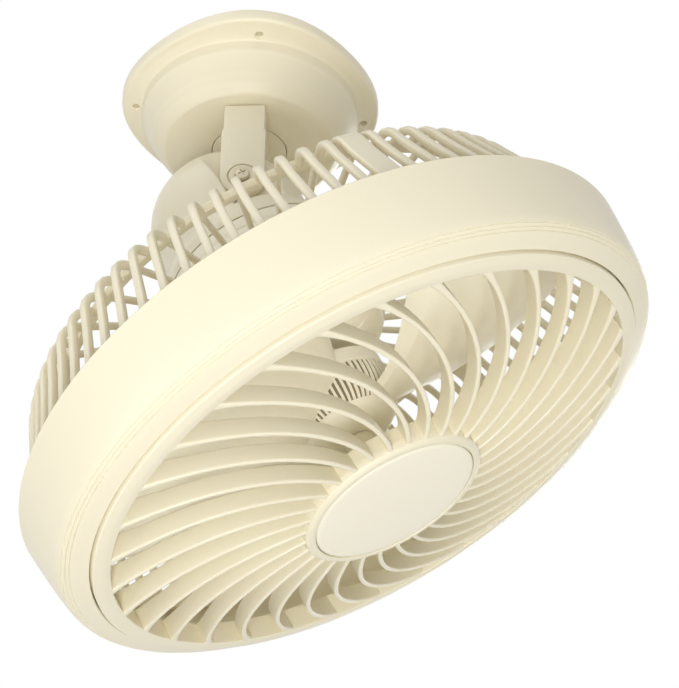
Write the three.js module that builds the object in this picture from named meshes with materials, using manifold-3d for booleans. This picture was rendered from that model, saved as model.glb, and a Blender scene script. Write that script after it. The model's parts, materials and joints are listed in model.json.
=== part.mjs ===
// Orbital ceiling fan: a ceiling canopy with a geared drive, a turning yoke, and a
// caged fan head that tilts in the yoke. Millimetres, +Z up, z = 0 at the ceiling.
import * as THREE from 'three';
import { mergeVertices } from 'three/addons/utils/BufferGeometryUtils.js';
import Module from 'manifold-3d';

const wasm = await Module();
wasm.setup();

// ---------------------------------------------------------------- driving dimensions
const CLEARANCE = 0.35;            // gap between neighbouring pieces

const CANOPY_MEAN_RADIUS = 78.7;   // plan outline, a rounded square with four soft lobes
const CANOPY_LOBE = 2;             // how far the lobes stand out of the mean outline
const CANOPY_OVAL = 1.3;           // two opposite lobes stand out by this much more
const CANOPY_SKIRT = 8;            // height of the edge that meets the ceiling
const CANOPY_DEPTH = 39;           // ceiling to the flat boss face
const CANOPY_WALL = 2.6;
const CANOPY_STEP_RADIUS = 67.5;   // round step inside the screw holes
const CANOPY_STEP_HEIGHT = 7;
const CANOPY_BOSS_RADIUS = 52;     // flat round face that the neck turns in
const CANOPY_TURN = -82.6;         // degrees, direction of the first screw hole
const CEILING_HOLE_CIRCLE = 70.5;  // radius of the circle of the four ceiling screw holes
const CEILING_HOLE_RADIUS = 2.1;
const CEILING_BOSS_WALL = 2.2;     // the holes run through bosses up to the ceiling

const DISC_RADIUS = 22.4;          // turning disc, flush in the boss face
const DISC_THICKNESS = 2.8;
const YOKE_DROP = 0.9;             // yoke crossbar below the boss face
const YOKE_WIDTH = 24;
const YOKE_ARM = 5.4;              // thickness of the arms
const YOKE_BAR = 5;                // thickness of the crossbar
const PIVOT_DROP = 94;             // ceiling to the tilt axis
const PIVOT_BOLT_RADIUS = 3;
const PIVOT_HEAD_RADIUS = 4.3;
const PIVOT_HEAD_HEIGHT = 2.6;
const PIVOT_RECESS_RADIUS = 8.6;
const PIVOT_RECESS_DEPTH = 1.4;
const WASHER_THICKNESS = 1.2;

const SPINDLE_RADIUS = 7;
const SPINDLE_BORE = 4;
const BEARING_WIDTH = 5;
const NECK_BEARING_RADIUS = 11;
const CHASSIS_RADIUS = 51;
const CHASSIS_THICKNESS = 1.6;
const CHASSIS_DROP = 20;           // ceiling to the top face of the chassis plate
const CHASSIS_SCREW_CIRCLE = 44;
const GEAR_MODULE = 1.5;
const ORBIT_TEETH = 40;
const PINION_TEETH = 8;
const GEAR_WIDTH = 4;
const ORBIT_MOTOR_RADIUS = 24.5;
const ORBIT_MOTOR_HEIGHT = 13;

const TILT = 27;                   // degrees, head axis from straight down as modelled
const AXIS_OFFSET = 10.9;          // head axis beside the tilt axis
const SEAM_TO_PIVOT = 185;         // seam plane of the grille to the tilt axis

const BALL_RADIUS = 46.5;          // round rear cover
const BALL_WALL = 2.6;
const BALL_FLAT = 36.4;            // flats that the yoke arms run on
const FRICTION_GAP = 2.2;          // flat to arm, filled by a friction washer
const BALL_SKIRT_STATION = 152;    // rear cover meets the motor housing
const HOUSING_RADIUS = 53;
const HOUSING_WALL = 2.6;
const HOUSING_FRONT_STATION = 88;
const GUARD_SEAT_STATION = 108;    // housing flange that carries the rear guard
const GUARD_SEAT_WIDTH = 9;        // how far that flange stands out of the housing
const FRONT_COVER_STATION = 72;
const VENT_COUNT = 24;

const SHAFT_RADIUS = 4;
const STACK_RADIUS = 42;           // motor laminations
const STACK_LENGTH = 22;
const ROTOR_RADIUS = 25;
const BLADE_COUNT = 3;
const BLADE_TIP_RADIUS = 150;      // 300 mm sweep
const BLADE_HUB_RADIUS = 34;
const BLADE_STATION = 42;          // middle of the blades on the fan axis
const BLADE_THICKNESS = 2.4;
const BLADE_PITCH_ROOT = 38;       // degrees
const BLADE_PITCH_TIP = 20;
const BLADE_ROOT_HALF_CHORD = 30;
const BLADE_CHORD_GAIN = 67;       // half chord gained between root and widest place
const BLADE_CAMBER = 6;
const BLADE_RISE = 0.43;           // share of its pitch that a blade's chord rises by
const BLADE_FORWARD = 4;           // blades sit this far in front of their station
const BLADE_SWEEP = -26;           // degrees that a blade's tip is turned from its root
const BLADE_TURN = -14;            // degrees, root of the first blade

const SEAM_RADIUS = 162.7;         // where the front grille drops into the ring
const RING_NOSE_WIDTH = 14.1;      // rounded front of the ring, seam to its widest front edge
const RING_NOSE_STATION = 2.6;
const RING_EDGE_STATION = 10.5;    // where the rounded front meets the band
const RING_FLARE = 6.6;            // the band widens by this towards the rear
const RING_REAR_STATION = 49;
const RING_WALL = 2.6;
const GRILLE_RIBS = 32;
const GRILLE_SWEEP = 34.5;          // degrees that a rib turns from hub to rim
const GRILLE_BEND = 1.25;          // the turn grows with this power of the way out
const GRILLE_RIB_THICKNESS = 2.8;
const GRILLE_RIB_DEPTH = 13;
const GRILLE_PHASE = 143.6;        // degrees, hub end of the first rib
const GRILLE_RIM_WIDTH = 9.5;
const GRILLE_RIM_DEPTH = 16;
const GRILLE_DOME = 22;            // the badge stands this far in front of the seam
const BADGE_RADIUS = 47;
const BADGE_THICKNESS = 2.2;
const HUB_RADIUS = 52.5;

const GUARD_RIBS = 80;
const GUARD_RIB_WIDTH = 5;
const GUARD_INNER_RIB_WIDTH = 3.4;
const GUARD_FULL_RADIUS = 120;     // ribs narrow inside this radius
const GUARD_RIB_DEPTH = 4.6;
const GUARD_SHOULDER_RADIUS = 156;
const GUARD_SHOULDER_STATION = 100;
const GUARD_SLANT = 1.5;           // degrees that a side rib leans
const GUARD_PHASE = 269.3;         // degrees, a rib at the shoulder
const GUARD_PANELS = 3;            // broad ribs among the others
const GUARD_PANEL_WIDTH = 13.5;
const GUARD_FIRST_PANEL = 3;       // rib that is the first broad one
const GUARD_FRONT_STATION = 40;
const GUARD_RING_GAP = 2;

const YOKE_SPAN = BALL_FLAT + FRICTION_GAP + YOKE_ARM;   // axis to the outer face of an arm
const GUARD_SEAT_RADIUS = HOUSING_RADIUS + GUARD_SEAT_WIDTH;
const RING_EDGE_RADIUS = SEAM_RADIUS + RING_NOSE_WIDTH;

const degrees = Math.PI / 180;
const SEGMENTS = 60;               // sides of the large round pieces
const FINE = 32;                   // of the middling ones
const SMALL = 16;                  // of the bearings, spindle and bolts

// ---------------------------------------------------------------- materials
const plastic = new THREE.MeshStandardMaterial({ color: 0xf3ebcb, roughness: 0.42, metalness: 0 });
const badgePlastic = new THREE.MeshStandardMaterial({ color: 0xf8f4e2, roughness: 0.3, metalness: 0 });
const steel = new THREE.MeshStandardMaterial({ color: 0xa9a9a5, roughness: 0.35, metalness: 1 });
const brass = new THREE.MeshStandardMaterial({ color: 0xb8923f, roughness: 0.3, metalness: 1 });
const copper = new THREE.MeshStandardMaterial({ color: 0x9c4f24, roughness: 0.4, metalness: 0.6 });
const nylon = new THREE.MeshStandardMaterial({ color: 0xe9e7df, roughness: 0.5, metalness: 0 });
const darkPlastic = new THREE.MeshStandardMaterial({ color: 0x2b2b2a, roughness: 0.5, metalness: 0 });

// ---------------------------------------------------------------- making closed solids
function signedVolume(geometry) {
  const position = geometry.getAttribute('position');
  const index = geometry.getIndex();
  const corner = [new THREE.Vector3(), new THREE.Vector3(), new THREE.Vector3()];
  let volume = 0;
  for (let i = 0; i < index.count; i += 3) {
    corner.forEach((point, k) => point.fromBufferAttribute(position, index.getX(i + k)));
    volume += corner[0].dot(corner[1].cross(corner[2])) / 6;
  }
  return volume;
}

// Keeps positions only, joins the shared corners and turns the faces outwards.
function tidy(geometry) {
  const bare = new THREE.BufferGeometry();
  bare.setAttribute('position', geometry.getAttribute('position').clone());
  if (geometry.getIndex()) bare.setIndex(geometry.getIndex().clone());
  const merged = mergeVertices(bare, 1e-4);
  const index = Array.from(merged.getIndex().array);
  const kept = [];
  for (let i = 0; i < index.length; i += 3) {
    const [a, b, c] = index.slice(i, i + 3);
    if (a !== b && b !== c && c !== a) kept.push(a, b, c);
  }
  merged.setIndex(kept);
  if (signedVolume(merged) < 0) {
    for (let i = 0; i < kept.length; i += 3) [kept[i], kept[i + 1]] = [kept[i + 1], kept[i]];
    merged.setIndex(kept);
  }
  return merged;
}

function toSolid(geometry) {
  const merged = tidy(geometry);
  return new wasm.Manifold(new wasm.Mesh({
    numProp: 3,
    vertProperties: new Float32Array(merged.getAttribute('position').array),
    triVerts: new Uint32Array(merged.getIndex().array),
  }));
}

function toGeometry(solid) {
  const mesh = solid.getMesh();
  const geometry = new THREE.BufferGeometry();
  geometry.setAttribute('position', new THREE.BufferAttribute(new Float32Array(mesh.vertProperties), 3));
  geometry.setIndex(Array.from(mesh.triVerts));
  return geometry;
}

const join = (...geometries) => toGeometry(
  geometries.map(toSolid).reduce((whole, piece) => whole.add(piece)));
const cut = (geometry, ...tools) => toGeometry(
  tools.map(toSolid).reduce((whole, tool) => whole.subtract(tool), toSolid(geometry)));

// A closed profile of [radius, z] points turned round the z axis.
function revolve(profile, segments = SEGMENTS, turn = 0) {
  const onAxis = profile[0][0] === 0 && profile[profile.length - 1][0] === 0;
  const points = (onAxis ? profile : [...profile, profile[0]])
    .map(([radius, z]) => new THREE.Vector2(radius, z));
  const geometry = new THREE.LatheGeometry(points, segments, turn);
  geometry.rotateX(Math.PI / 2);
  return tidy(geometry);
}

const tube = (inner, outer, low, high, segments = SMALL) => revolve(
  [[inner, low], [outer, low], [outer, high], [inner, high]], segments);
const rod = (radius, low, high, segments = SMALL) => revolve(
  [[0, low], [radius, low], [radius, high], [0, high]], segments);

function block(sizeX, sizeY, sizeZ, x, y, z) {
  const geometry = new THREE.BoxGeometry(sizeX, sizeY, sizeZ);
  geometry.translate(x, y, z);
  return geometry;
}

function extrude(outline, low, high) {
  const shape = new THREE.Shape(outline.map(([x, y]) => new THREE.Vector2(x, y)));
  const geometry = new THREE.ExtrudeGeometry(shape, { depth: high - low, bevelEnabled: false });
  geometry.translate(0, 0, low);
  return tidy(geometry);
}

// A screw along z: a pan head above z = 0 and a shank below it.
function screw(headRadius, headHeight, shankRadius, shankLength, segments = 8) {
  return revolve([[0, -shankLength], [shankRadius, -shankLength], [shankRadius, 0],
    [headRadius, 0], [headRadius * 0.8, headHeight], [0, headHeight]], segments);
}

// A thin-walled shell with windows. Corner (station, index) has an outer and an inner
// point; cells [station, from, to] are solid and every edge that only one cell has is
// closed by a wall, so ribs, rings and panels come out as one closed body.
function windowedShell(outerPoint, innerPoint, cells) {
  const positions = [];
  const numbers = new Map();
  const corner = (side, station, index) => {
    const key = `${side}:${station}:${index}`;
    if (!numbers.has(key)) {
      const point = (side === 'outer' ? outerPoint : innerPoint)(station, index);
      numbers.set(key, positions.length / 3);
      positions.push(point.x, point.y, point.z);
    }
    return numbers.get(key);
  };
  const triangles = [];
  const quad = (a, b, c, d) => triangles.push(a, b, c, a, c, d);
  const edges = new Map();
  for (const [station, from, to] of cells) {
    const ring = [[station, from], [station, to], [station + 1, to], [station + 1, from]];
    quad(...ring.map(([s, i]) => corner('outer', s, i)));
    quad(...ring.map(([s, i]) => corner('inner', s, i)).reverse());
    ring.forEach((start, k) => {
      const end = ring[(k + 1) % 4];
      const forward = `${start}>${end}`;
      const backward = `${end}>${start}`;
      if (edges.has(backward)) edges.delete(backward);
      else edges.set(forward, [start, end]);
    });
  }
  for (const [start, end] of edges.values()) {
    quad(corner('outer', ...end), corner('outer', ...start),
      corner('inner', ...start), corner('inner', ...end));
  }
  const geometry = new THREE.BufferGeometry();
  geometry.setAttribute('position', new THREE.Float32BufferAttribute(positions, 3));
  geometry.setIndex(triangles);
  return tidy(geometry);
}

function piece(name, geometry, material) {
  const mesh = new THREE.Mesh(geometry, material);
  mesh.name = name;
  return mesh;
}

const polar = (radius, angle, z = 0) => new THREE.Vector3(
  radius * Math.cos(angle * degrees), radius * Math.sin(angle * degrees), z);

const fan = new THREE.Group();

// ---------------------------------------------------------------- ceiling canopy
function canopyOutline(inset) {
  const points = [];
  for (let i = 0; i < SEGMENTS; i += 1) {
    const angle = (360 / SEGMENTS) * i;
    const turned = (angle - CANOPY_TURN) * degrees;
    const bulge = CANOPY_LOBE * Math.cos(4 * turned) + CANOPY_OVAL * Math.cos(2 * turned);
    const point = polar(CANOPY_MEAN_RADIUS + bulge - inset, angle);
    points.push([point.x, point.y]);
  }
  return points;
}

const stepFoot = -CANOPY_SKIRT - 2;
const stepCrest = stepFoot - CANOPY_STEP_HEIGHT;
const bossFace = -CANOPY_DEPTH;
const domeProfile = (inset) => {
  const foot = CANOPY_STEP_RADIUS - inset;
  const boss = CANOPY_BOSS_RADIUS - inset;
  const rise = bossFace - stepCrest;
  const along = (share) => foot - 2 + (boss - foot + 2) * share;
  return [[foot, stepFoot + inset], [foot - 1.5, stepCrest + inset],
    [along(0.35), stepCrest + 0.5 * rise + inset], [along(0.72), stepCrest + 0.84 * rise + inset],
    [boss - 0.4, bossFace + inset]];
};
const chassisTop = -CHASSIS_DROP;
const chassisUnder = chassisTop - CHASSIS_THICKNESS;
const bossFloor = bossFace + CANOPY_WALL;
const chassisScrewAngles = [70, 150, 290];

function ceilingCanopy() {
  const edgeRound = 1;
  const coneFoot = CANOPY_MEAN_RADIUS - CANOPY_LOBE - edgeRound - 0.5;
  const flange = join(
    extrude(canopyOutline(0), -CANOPY_SKIRT + edgeRound, 0),
    extrude(canopyOutline(edgeRound), -CANOPY_SKIRT, 0));
  const cone = revolve([[0, -1], [coneFoot, -1], [coneFoot, -CANOPY_SKIRT], ...domeProfile(0),
    [0, bossFace]]);
  const cavity = join(
    extrude(canopyOutline(CANOPY_WALL), -CANOPY_SKIRT + CANOPY_WALL, 1),
    revolve([[0, 1], [CANOPY_STEP_RADIUS - CANOPY_WALL, 1], ...domeProfile(CANOPY_WALL),
      [0, bossFloor]]));
  const discHole = rod(DISC_RADIUS + CLEARANCE, bossFace - 1, bossFloor + 1, FINE);
  const atCeilingHoles = (radius, low, high) => [0, 90, 180, 270].map((step) => {
    const at = polar(CEILING_HOLE_CIRCLE, CANOPY_TURN + step);
    const pillar = rod(radius, low, high, 8);
    pillar.translate(at.x, at.y, 0);
    return pillar;
  });
  const screwBosses = atCeilingHoles(CEILING_HOLE_RADIUS + CEILING_BOSS_WALL, -CANOPY_SKIRT + 1, 0);
  const ceilingHoles = atCeilingHoles(CEILING_HOLE_RADIUS, stepFoot - 1, 1);
  const posts = chassisScrewAngles.map((angle) => {
    const at = polar(CHASSIS_SCREW_CIRCLE, angle);
    const post = tube(1.5 + CLEARANCE, 4.5, bossFloor - 1, chassisUnder - CLEARANCE, 8);
    post.translate(at.x, at.y, 0);
    return post;
  });
  const shell = join(cut(join(flange, cone), cavity), ...screwBosses, ...posts);
  return cut(shell, discHole, ...ceilingHoles);
}
fan.add(piece('ceiling_canopy', ceilingCanopy(), plastic));

// ---------------------------------------------------------------- drive chassis and its parts
const bearingSeat = NECK_BEARING_RADIUS + CLEARANCE;
const lowerBearingBase = bossFloor + 1.2;
const gearBase = chassisTop + 0.8;
const gearTop = gearBase + GEAR_WIDTH;
const gearDistance = GEAR_MODULE * (ORBIT_TEETH + PINION_TEETH) / 2;
const orbitMotorBase = gearTop + 0.8;
const earAngleOffset = ORBIT_MOTOR_RADIUS + 5;
const earThickness = 1;
const earScrewRadius = 1.4;
const earPositions = [-1, 1].map((side) => new THREE.Vector3(gearDistance, side * earAngleOffset, 0));

function driveChassis() {
  const plate = rod(CHASSIS_RADIUS, chassisUnder, chassisTop, FINE);
  const barrel = rod(bearingSeat + 2, lowerBearingBase - 0.6, chassisTop);
  const seatBore = rod(bearingSeat, lowerBearingBase - 1, chassisTop + 1);
  const screwHoles = chassisScrewAngles.map((angle) => {
    const at = polar(CHASSIS_SCREW_CIRCLE, angle);
    const bore = rod(1.5 + CLEARANCE, chassisUnder - 1, chassisTop + 1, 8);
    bore.translate(at.x, at.y, 0);
    return bore;
  });
  const pillars = earPositions.map((at) => {
    const pillar = tube(earScrewRadius + CLEARANCE, 3.4, chassisTop - 0.5, orbitMotorBase - CLEARANCE, 8);
    pillar.translate(at.x, at.y, 0);
    return pillar;
  });
  return join(cut(join(plate, barrel), seatBore, ...screwHoles), ...pillars);
}
fan.add(piece('drive_chassis', driveChassis(), steel));

chassisScrewAngles.forEach((angle, i) => {
  const at = polar(CHASSIS_SCREW_CIRCLE, angle, chassisTop + CLEARANCE);
  const fastener = piece(`chassis_screw_${i + 1}`, screw(3, 2, 1.5, 10), steel);
  fastener.position.copy(at);
  fan.add(fastener);
});

function ballBearing(bore, radius, width) {
  const race = (bore + radius) / 2;
  return revolve([[bore, 0], [race, 0.6], [radius, 0], [radius, width], [race, width - 0.6],
    [bore, width]], SMALL);
}
const neckBearing = ballBearing(SPINDLE_RADIUS + CLEARANCE, NECK_BEARING_RADIUS, BEARING_WIDTH);
const lowerNeckBearing = piece('neck_bearing_lower', neckBearing, steel);
lowerNeckBearing.position.z = lowerBearingBase;
const upperNeckBearing = piece('neck_bearing_upper', neckBearing.clone(), steel);
upperNeckBearing.position.z = chassisTop - BEARING_WIDTH - 0.3;
fan.add(lowerNeckBearing, upperNeckBearing);

function orbitMotor() {
  const can = revolve([[0, 0], [ORBIT_MOTOR_RADIUS, 0], [ORBIT_MOTOR_RADIUS, ORBIT_MOTOR_HEIGHT - 1.5],
    [ORBIT_MOTOR_RADIUS - 1.5, ORBIT_MOTOR_HEIGHT], [0, ORBIT_MOTOR_HEIGHT]], 28);
  const earBar = block(7, earAngleOffset * 2 + 7, earThickness, 0, 0, earThickness / 2);
  const screwHoles = [-1, 1].map((side) => {
    const bore = rod(earScrewRadius + CLEARANCE, -1, earThickness + 1, 8);
    bore.translate(0, side * earAngleOffset, 0);
    return bore;
  });
  const lead = block(5, 5, 6, ORBIT_MOTOR_RADIUS, 0, ORBIT_MOTOR_HEIGHT / 2);
  const shaftHole = rod(2 + CLEARANCE, -1, 4, 10);
  return cut(join(can, earBar, lead), shaftHole, ...screwHoles);
}
const orbitMotorPiece = piece('orbit_motor', orbitMotor(), steel);
orbitMotorPiece.position.set(gearDistance, 0, orbitMotorBase);
fan.add(orbitMotorPiece);

const pinionPitchRadius = GEAR_MODULE * PINION_TEETH / 2;
function gearOutline(teeth, backlash) {
  const pitchRadius = GEAR_MODULE * teeth / 2;
  const tip = pitchRadius + GEAR_MODULE * 0.85;
  const root = pitchRadius - GEAR_MODULE * 1.15;
  const pitchAngle = 360 / teeth;
  const points = [];
  for (let tooth = 0; tooth < teeth; tooth += 1) {
    const middle = tooth * pitchAngle;
    const halfTip = pitchAngle * 0.11 - backlash / pitchRadius / degrees / 2;
    const halfRoot = pitchAngle * 0.3 - backlash / pitchRadius / degrees / 2;
    const corners = [[root, -halfRoot], [tip, -halfTip], [tip, halfTip], [root, halfRoot]];
    for (const [radius, offset] of corners) {
      const point = polar(radius, middle + offset);
      points.push([point.x, point.y]);
    }
  }
  return points;
}

earPositions.forEach((at, i) => {
  const fastener = piece(`orbit_motor_screw_${i + 1}`, screw(2.8, 1.8, earScrewRadius, 4.5), steel);
  fastener.position.set(at.x, at.y, orbitMotorBase + earThickness + CLEARANCE);
  fan.add(fastener);
});

// The pinion turns on the gear motor's own short shaft.
function orbitPinion() {
  const gear = extrude(gearOutline(PINION_TEETH, 0.3), gearBase, gearTop);
  const stub = rod(2, gearTop - 0.5, orbitMotorBase + 3, 10);
  return join(gear, stub);
}
const pinion = piece('orbit_pinion', orbitPinion(), nylon);
pinion.position.x = gearDistance;
const halfPinionTooth = Math.PI / PINION_TEETH;
pinion.rotation.z = Math.PI + halfPinionTooth;
fan.add(pinion);

const drumBase = gearTop + 1.2;
const drumRadius = SPINDLE_RADIUS + 2.2;
const drumHeight = 11;
const ringHeight = 2.4;
const ringRadius = drumRadius + 0.9;
const ringStations = [drumBase + 2, drumBase + 6.6];
const brushFootDepth = 7;
const brushFootAt = CHASSIS_RADIUS - 10;
const brushLength = 8;
const brushTip = ringRadius + CLEARANCE;
const brushHolderWidth = 12;

// Stands beside the gear and reaches over it towards the slip rings.
function brushHolder() {
  const footBase = chassisTop + CLEARANCE;
  const armTop = drumBase + drumHeight;
  const armStart = brushTip + brushLength;
  const foot = block(brushFootDepth, brushHolderWidth, armTop - footBase,
    -brushFootAt, 0, (armTop + footBase) / 2);
  const arm = block(brushFootAt - armStart, brushHolderWidth, drumHeight,
    -(brushFootAt + armStart) / 2, 0, drumBase + drumHeight / 2);
  return join(foot, arm);
}
fan.add(piece('brush_holder', brushHolder(), darkPlastic));

['carbon_brush_lower', 'carbon_brush_upper'].forEach((name, i) => {
  const length = brushLength - CLEARANCE;
  fan.add(piece(name, block(length, 4, ringHeight, -(brushTip + length / 2), 0,
    ringStations[i] + ringHeight / 2), darkPlastic));
});

function terminalBlock() {
  const body = block(20, 10, 9, 0, 0, 4.5);
  const wells = [-6, 0, 6].map((x) => block(4, 5, 5, x, 0, 9));
  return cut(body, ...wells);
}
const terminals = piece('terminal_block', terminalBlock(), nylon);
terminals.position.set(0, CHASSIS_RADIUS - 9, chassisTop + CLEARANCE);
const capacitorSize = { length: 34, width: 11, height: 16 };
const capacitor = piece('run_capacitor', block(capacitorSize.length, capacitorSize.width,
  capacitorSize.height, 0, 0, capacitorSize.height / 2), darkPlastic);
capacitor.position.set(-6, -(CHASSIS_RADIUS - 8), chassisTop + CLEARANCE);
fan.add(terminals, capacitor);

// ---------------------------------------------------------------- turning neck: spindle, gear, yoke
const neck = new THREE.Group();
fan.add(neck);
const barTop = bossFace - YOKE_DROP;
const barUnder = barTop - YOKE_BAR;
const discFace = bossFace - 0.4;
const spindleFoot = barUnder + 1.5;
const spindleTop = drumBase + drumHeight + 2.4;
const armInner = YOKE_SPAN - YOKE_ARM;

function spindle() {
  return revolve([[SPINDLE_BORE, spindleFoot], [SPINDLE_RADIUS, spindleFoot], [SPINDLE_RADIUS, spindleTop - 2],
    [SPINDLE_RADIUS - 0.7, spindleTop - 2], [SPINDLE_RADIUS - 0.7, spindleTop - 0.8],
    [SPINDLE_RADIUS, spindleTop - 0.8], [SPINDLE_RADIUS, spindleTop], [SPINDLE_BORE, spindleTop]], SMALL);
}
neck.add(piece('neck_spindle', spindle(), steel));

const orbitGearSolid = cut(extrude(gearOutline(ORBIT_TEETH, 0.3), gearBase, gearTop),
  rod(SPINDLE_RADIUS + CLEARANCE, gearBase - 1, gearTop + 1));
neck.add(piece('orbit_gear', orbitGearSolid, nylon));

function slipRingDrum() {
  const inner = SPINDLE_RADIUS + CLEARANCE;
  const profile = [[inner, drumBase], [drumRadius, drumBase]];
  for (const z of ringStations) {
    profile.push([drumRadius, z - CLEARANCE], [drumRadius - 0.9, z - CLEARANCE],
      [drumRadius - 0.9, z + ringHeight + CLEARANCE], [drumRadius, z + ringHeight + CLEARANCE]);
  }
  profile.push([drumRadius, drumBase + drumHeight], [inner, drumBase + drumHeight]);
  return revolve(profile, SMALL);
}
neck.add(piece('slip_ring_drum', slipRingDrum(), darkPlastic));
ringStations.forEach((z, i) => {
  const ring = tube(drumRadius - 0.9 + CLEARANCE, ringRadius, z, z + ringHeight);
  neck.add(piece(i === 0 ? 'slip_ring_lower' : 'slip_ring_upper', ring, brass));
});
neck.add(piece('spindle_circlip', tube(SPINDLE_RADIUS - 0.4, SPINDLE_RADIUS + 1.8,
  spindleTop - 1.7, spindleTop - 1.1), steel));

const pivotHeight = -PIVOT_DROP;
function yokeArm(side) {
  const half = YOKE_WIDTH / 2;
  const profile = new THREE.Shape();
  profile.moveTo(-half, barTop);
  profile.lineTo(-half - 1, bossFace - 22);
  profile.lineTo(-half - 1, pivotHeight);
  profile.absarc(0, pivotHeight, half + 1, Math.PI, 2 * Math.PI, false);
  profile.lineTo(half, bossFace - 22);
  profile.lineTo(half, barTop);
  const geometry = new THREE.ExtrudeGeometry(profile,
    { depth: YOKE_ARM, bevelEnabled: false, curveSegments: 16 });
  geometry.rotateX(Math.PI / 2);
  geometry.translate(0, side > 0 ? YOKE_SPAN : -armInner, 0);
  return tidy(geometry);
}

const recessSeat = YOKE_SPAN - PIVOT_RECESS_DEPTH;
function acrossPivot(geometry, side) {
  geometry.rotateX(side > 0 ? -Math.PI / 2 : Math.PI / 2);
  geometry.translate(0, 0, pivotHeight);
  return geometry;
}

function yoke() {
  const disc = revolve([[0, discFace + DISC_THICKNESS], [DISC_RADIUS, discFace + DISC_THICKNESS],
    [DISC_RADIUS, discFace], [0, discFace]], FINE);
  const collar = rod(SPINDLE_RADIUS + 3.4, discFace, lowerBearingBase - CLEARANCE - 0.6);
  const root = rod(SPINDLE_RADIUS + 5, barTop - 1, discFace + 1);
  const bar = block(YOKE_WIDTH, YOKE_SPAN * 2, YOKE_BAR, 0, 0, (barTop + barUnder) / 2);
  const body = join(disc, collar, root, bar, yokeArm(1), yokeArm(-1));
  const spindleSeat = rod(SPINDLE_RADIUS + CLEARANCE, spindleFoot - CLEARANCE, 0);
  const cableHole = rod(SPINDLE_BORE, barUnder - 1, 0, 12);
  const pivotCuts = [-1, 1].flatMap((side) => [
    acrossPivot(rod(PIVOT_RECESS_RADIUS, recessSeat, YOKE_SPAN + 1, 24), side),
    acrossPivot(rod(PIVOT_BOLT_RADIUS + CLEARANCE, armInner - 1, YOKE_SPAN, 12), side)]);
  return cut(body, spindleSeat, cableHole, ...pivotCuts);
}
neck.add(piece('yoke', yoke(), plastic));

const boltReach = 12;
for (const [side, label] of [[-1, 'near'], [1, 'far']]) {
  const headSeat = recessSeat + 2 * CLEARANCE + WASHER_THICKNESS;
  const bolt = screw(PIVOT_HEAD_RADIUS, PIVOT_HEAD_HEIGHT, PIVOT_BOLT_RADIUS,
    headSeat - armInner + boltReach, 12);
  bolt.translate(0, 0, headSeat);
  neck.add(piece(`pivot_bolt_${label}`, acrossPivot(bolt, side), steel));
  const washer = tube(PIVOT_BOLT_RADIUS + CLEARANCE, PIVOT_RECESS_RADIUS - 0.8,
    recessSeat + CLEARANCE, recessSeat + CLEARANCE + WASHER_THICKNESS);
  neck.add(piece(`pivot_washer_${label}`, acrossPivot(washer, side), steel));
  const friction = tube(PIVOT_BOLT_RADIUS + CLEARANCE, PIVOT_RECESS_RADIUS,
    BALL_FLAT + CLEARANCE, armInner - CLEARANCE, 16);
  neck.add(piece(`friction_washer_${label}`, acrossPivot(friction, side), nylon));
}

// ---------------------------------------------------------------- tilting head
// Stations on the fan axis count rearwards from the seam between ring and grille.
const tiltGroup = new THREE.Group();
tiltGroup.position.set(0, 0, pivotHeight);
tiltGroup.rotation.y = -TILT * degrees;
neck.add(tiltGroup);
const head = new THREE.Group();
head.position.set(-AXIS_OFFSET, 0, -SEAM_TO_PIVOT);
tiltGroup.add(head);

const channelFloor = BALL_SKIRT_STATION + 14;
function rearCover() {
  const centre = SEAM_TO_PIVOT;
  const arc = (radius, count) => Array.from({ length: count + 1 }, (_, i) => {
    const angle = (90 * i) / count * degrees;
    return [radius * Math.cos(angle), centre + radius * Math.sin(angle)];
  });
  const bellOuter = arc(BALL_RADIUS, 8);
  bellOuter[bellOuter.length - 1][0] = 0;
  const outside = revolve([[0, BALL_SKIRT_STATION], [HOUSING_RADIUS, BALL_SKIRT_STATION],
    [HOUSING_RADIUS, BALL_SKIRT_STATION + 4], [BALL_RADIUS, channelFloor], ...bellOuter], FINE);
  const bellInner = arc(BALL_RADIUS - BALL_WALL, 4);
  bellInner[bellInner.length - 1][0] = 0;
  const inside = revolve([[0, BALL_SKIRT_STATION - 1], [BALL_RADIUS - BALL_WALL, BALL_SKIRT_STATION - 1],
    ...bellInner], 24);
  const keep = block(4 * BALL_RADIUS, 2 * (BALL_FLAT - BALL_WALL), 4 * BALL_RADIUS, 0, 0, centre);
  const hollow = join(toGeometry(toSolid(inside).intersect(toSolid(keep))),
    rod(BALL_RADIUS - BALL_WALL, BALL_SKIRT_STATION - 1, channelFloor - BALL_WALL, 24));
  const pivotBosses = [-1, 1].map((side) => {
    const boss = tube(PIVOT_BOLT_RADIUS + CLEARANCE, 7, BALL_FLAT - boltReach - 1, BALL_FLAT - 0.5, 12);
    boss.rotateX(side > 0 ? -Math.PI / 2 : Math.PI / 2);
    boss.translate(AXIS_OFFSET, 0, centre);
    return boss;
  });
  const channels = [-1, 1].map((side) => {
    const wide = 2 * BALL_RADIUS;
    const wallAt = AXIS_OFFSET - YOKE_WIDTH / 2 - 1 - 2 * CLEARANCE;
    return block(wide, wide, wide, wallAt + wide / 2, side * (BALL_FLAT + BALL_RADIUS),
      channelFloor + wide / 2);
  });
  const boltHoles = [-1, 1].map((side) => {
    const bore = rod(PIVOT_BOLT_RADIUS + CLEARANCE, BALL_FLAT - boltReach - 1, BALL_FLAT + 1, 12);
    bore.rotateX(side > 0 ? -Math.PI / 2 : Math.PI / 2);
    bore.translate(AXIS_OFFSET, 0, centre);
    return bore;
  });
  const cableHole = rod(5, centre, centre + 2 * BALL_RADIUS, 12);
  cableHole.translate(AXIS_OFFSET, 0, 0);
  return cut(join(cut(outside, hollow, ...channels), ...pivotBosses), ...boltHoles, cableHole);
}
head.add(piece('rear_cover', rearCover(), plastic));

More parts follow.
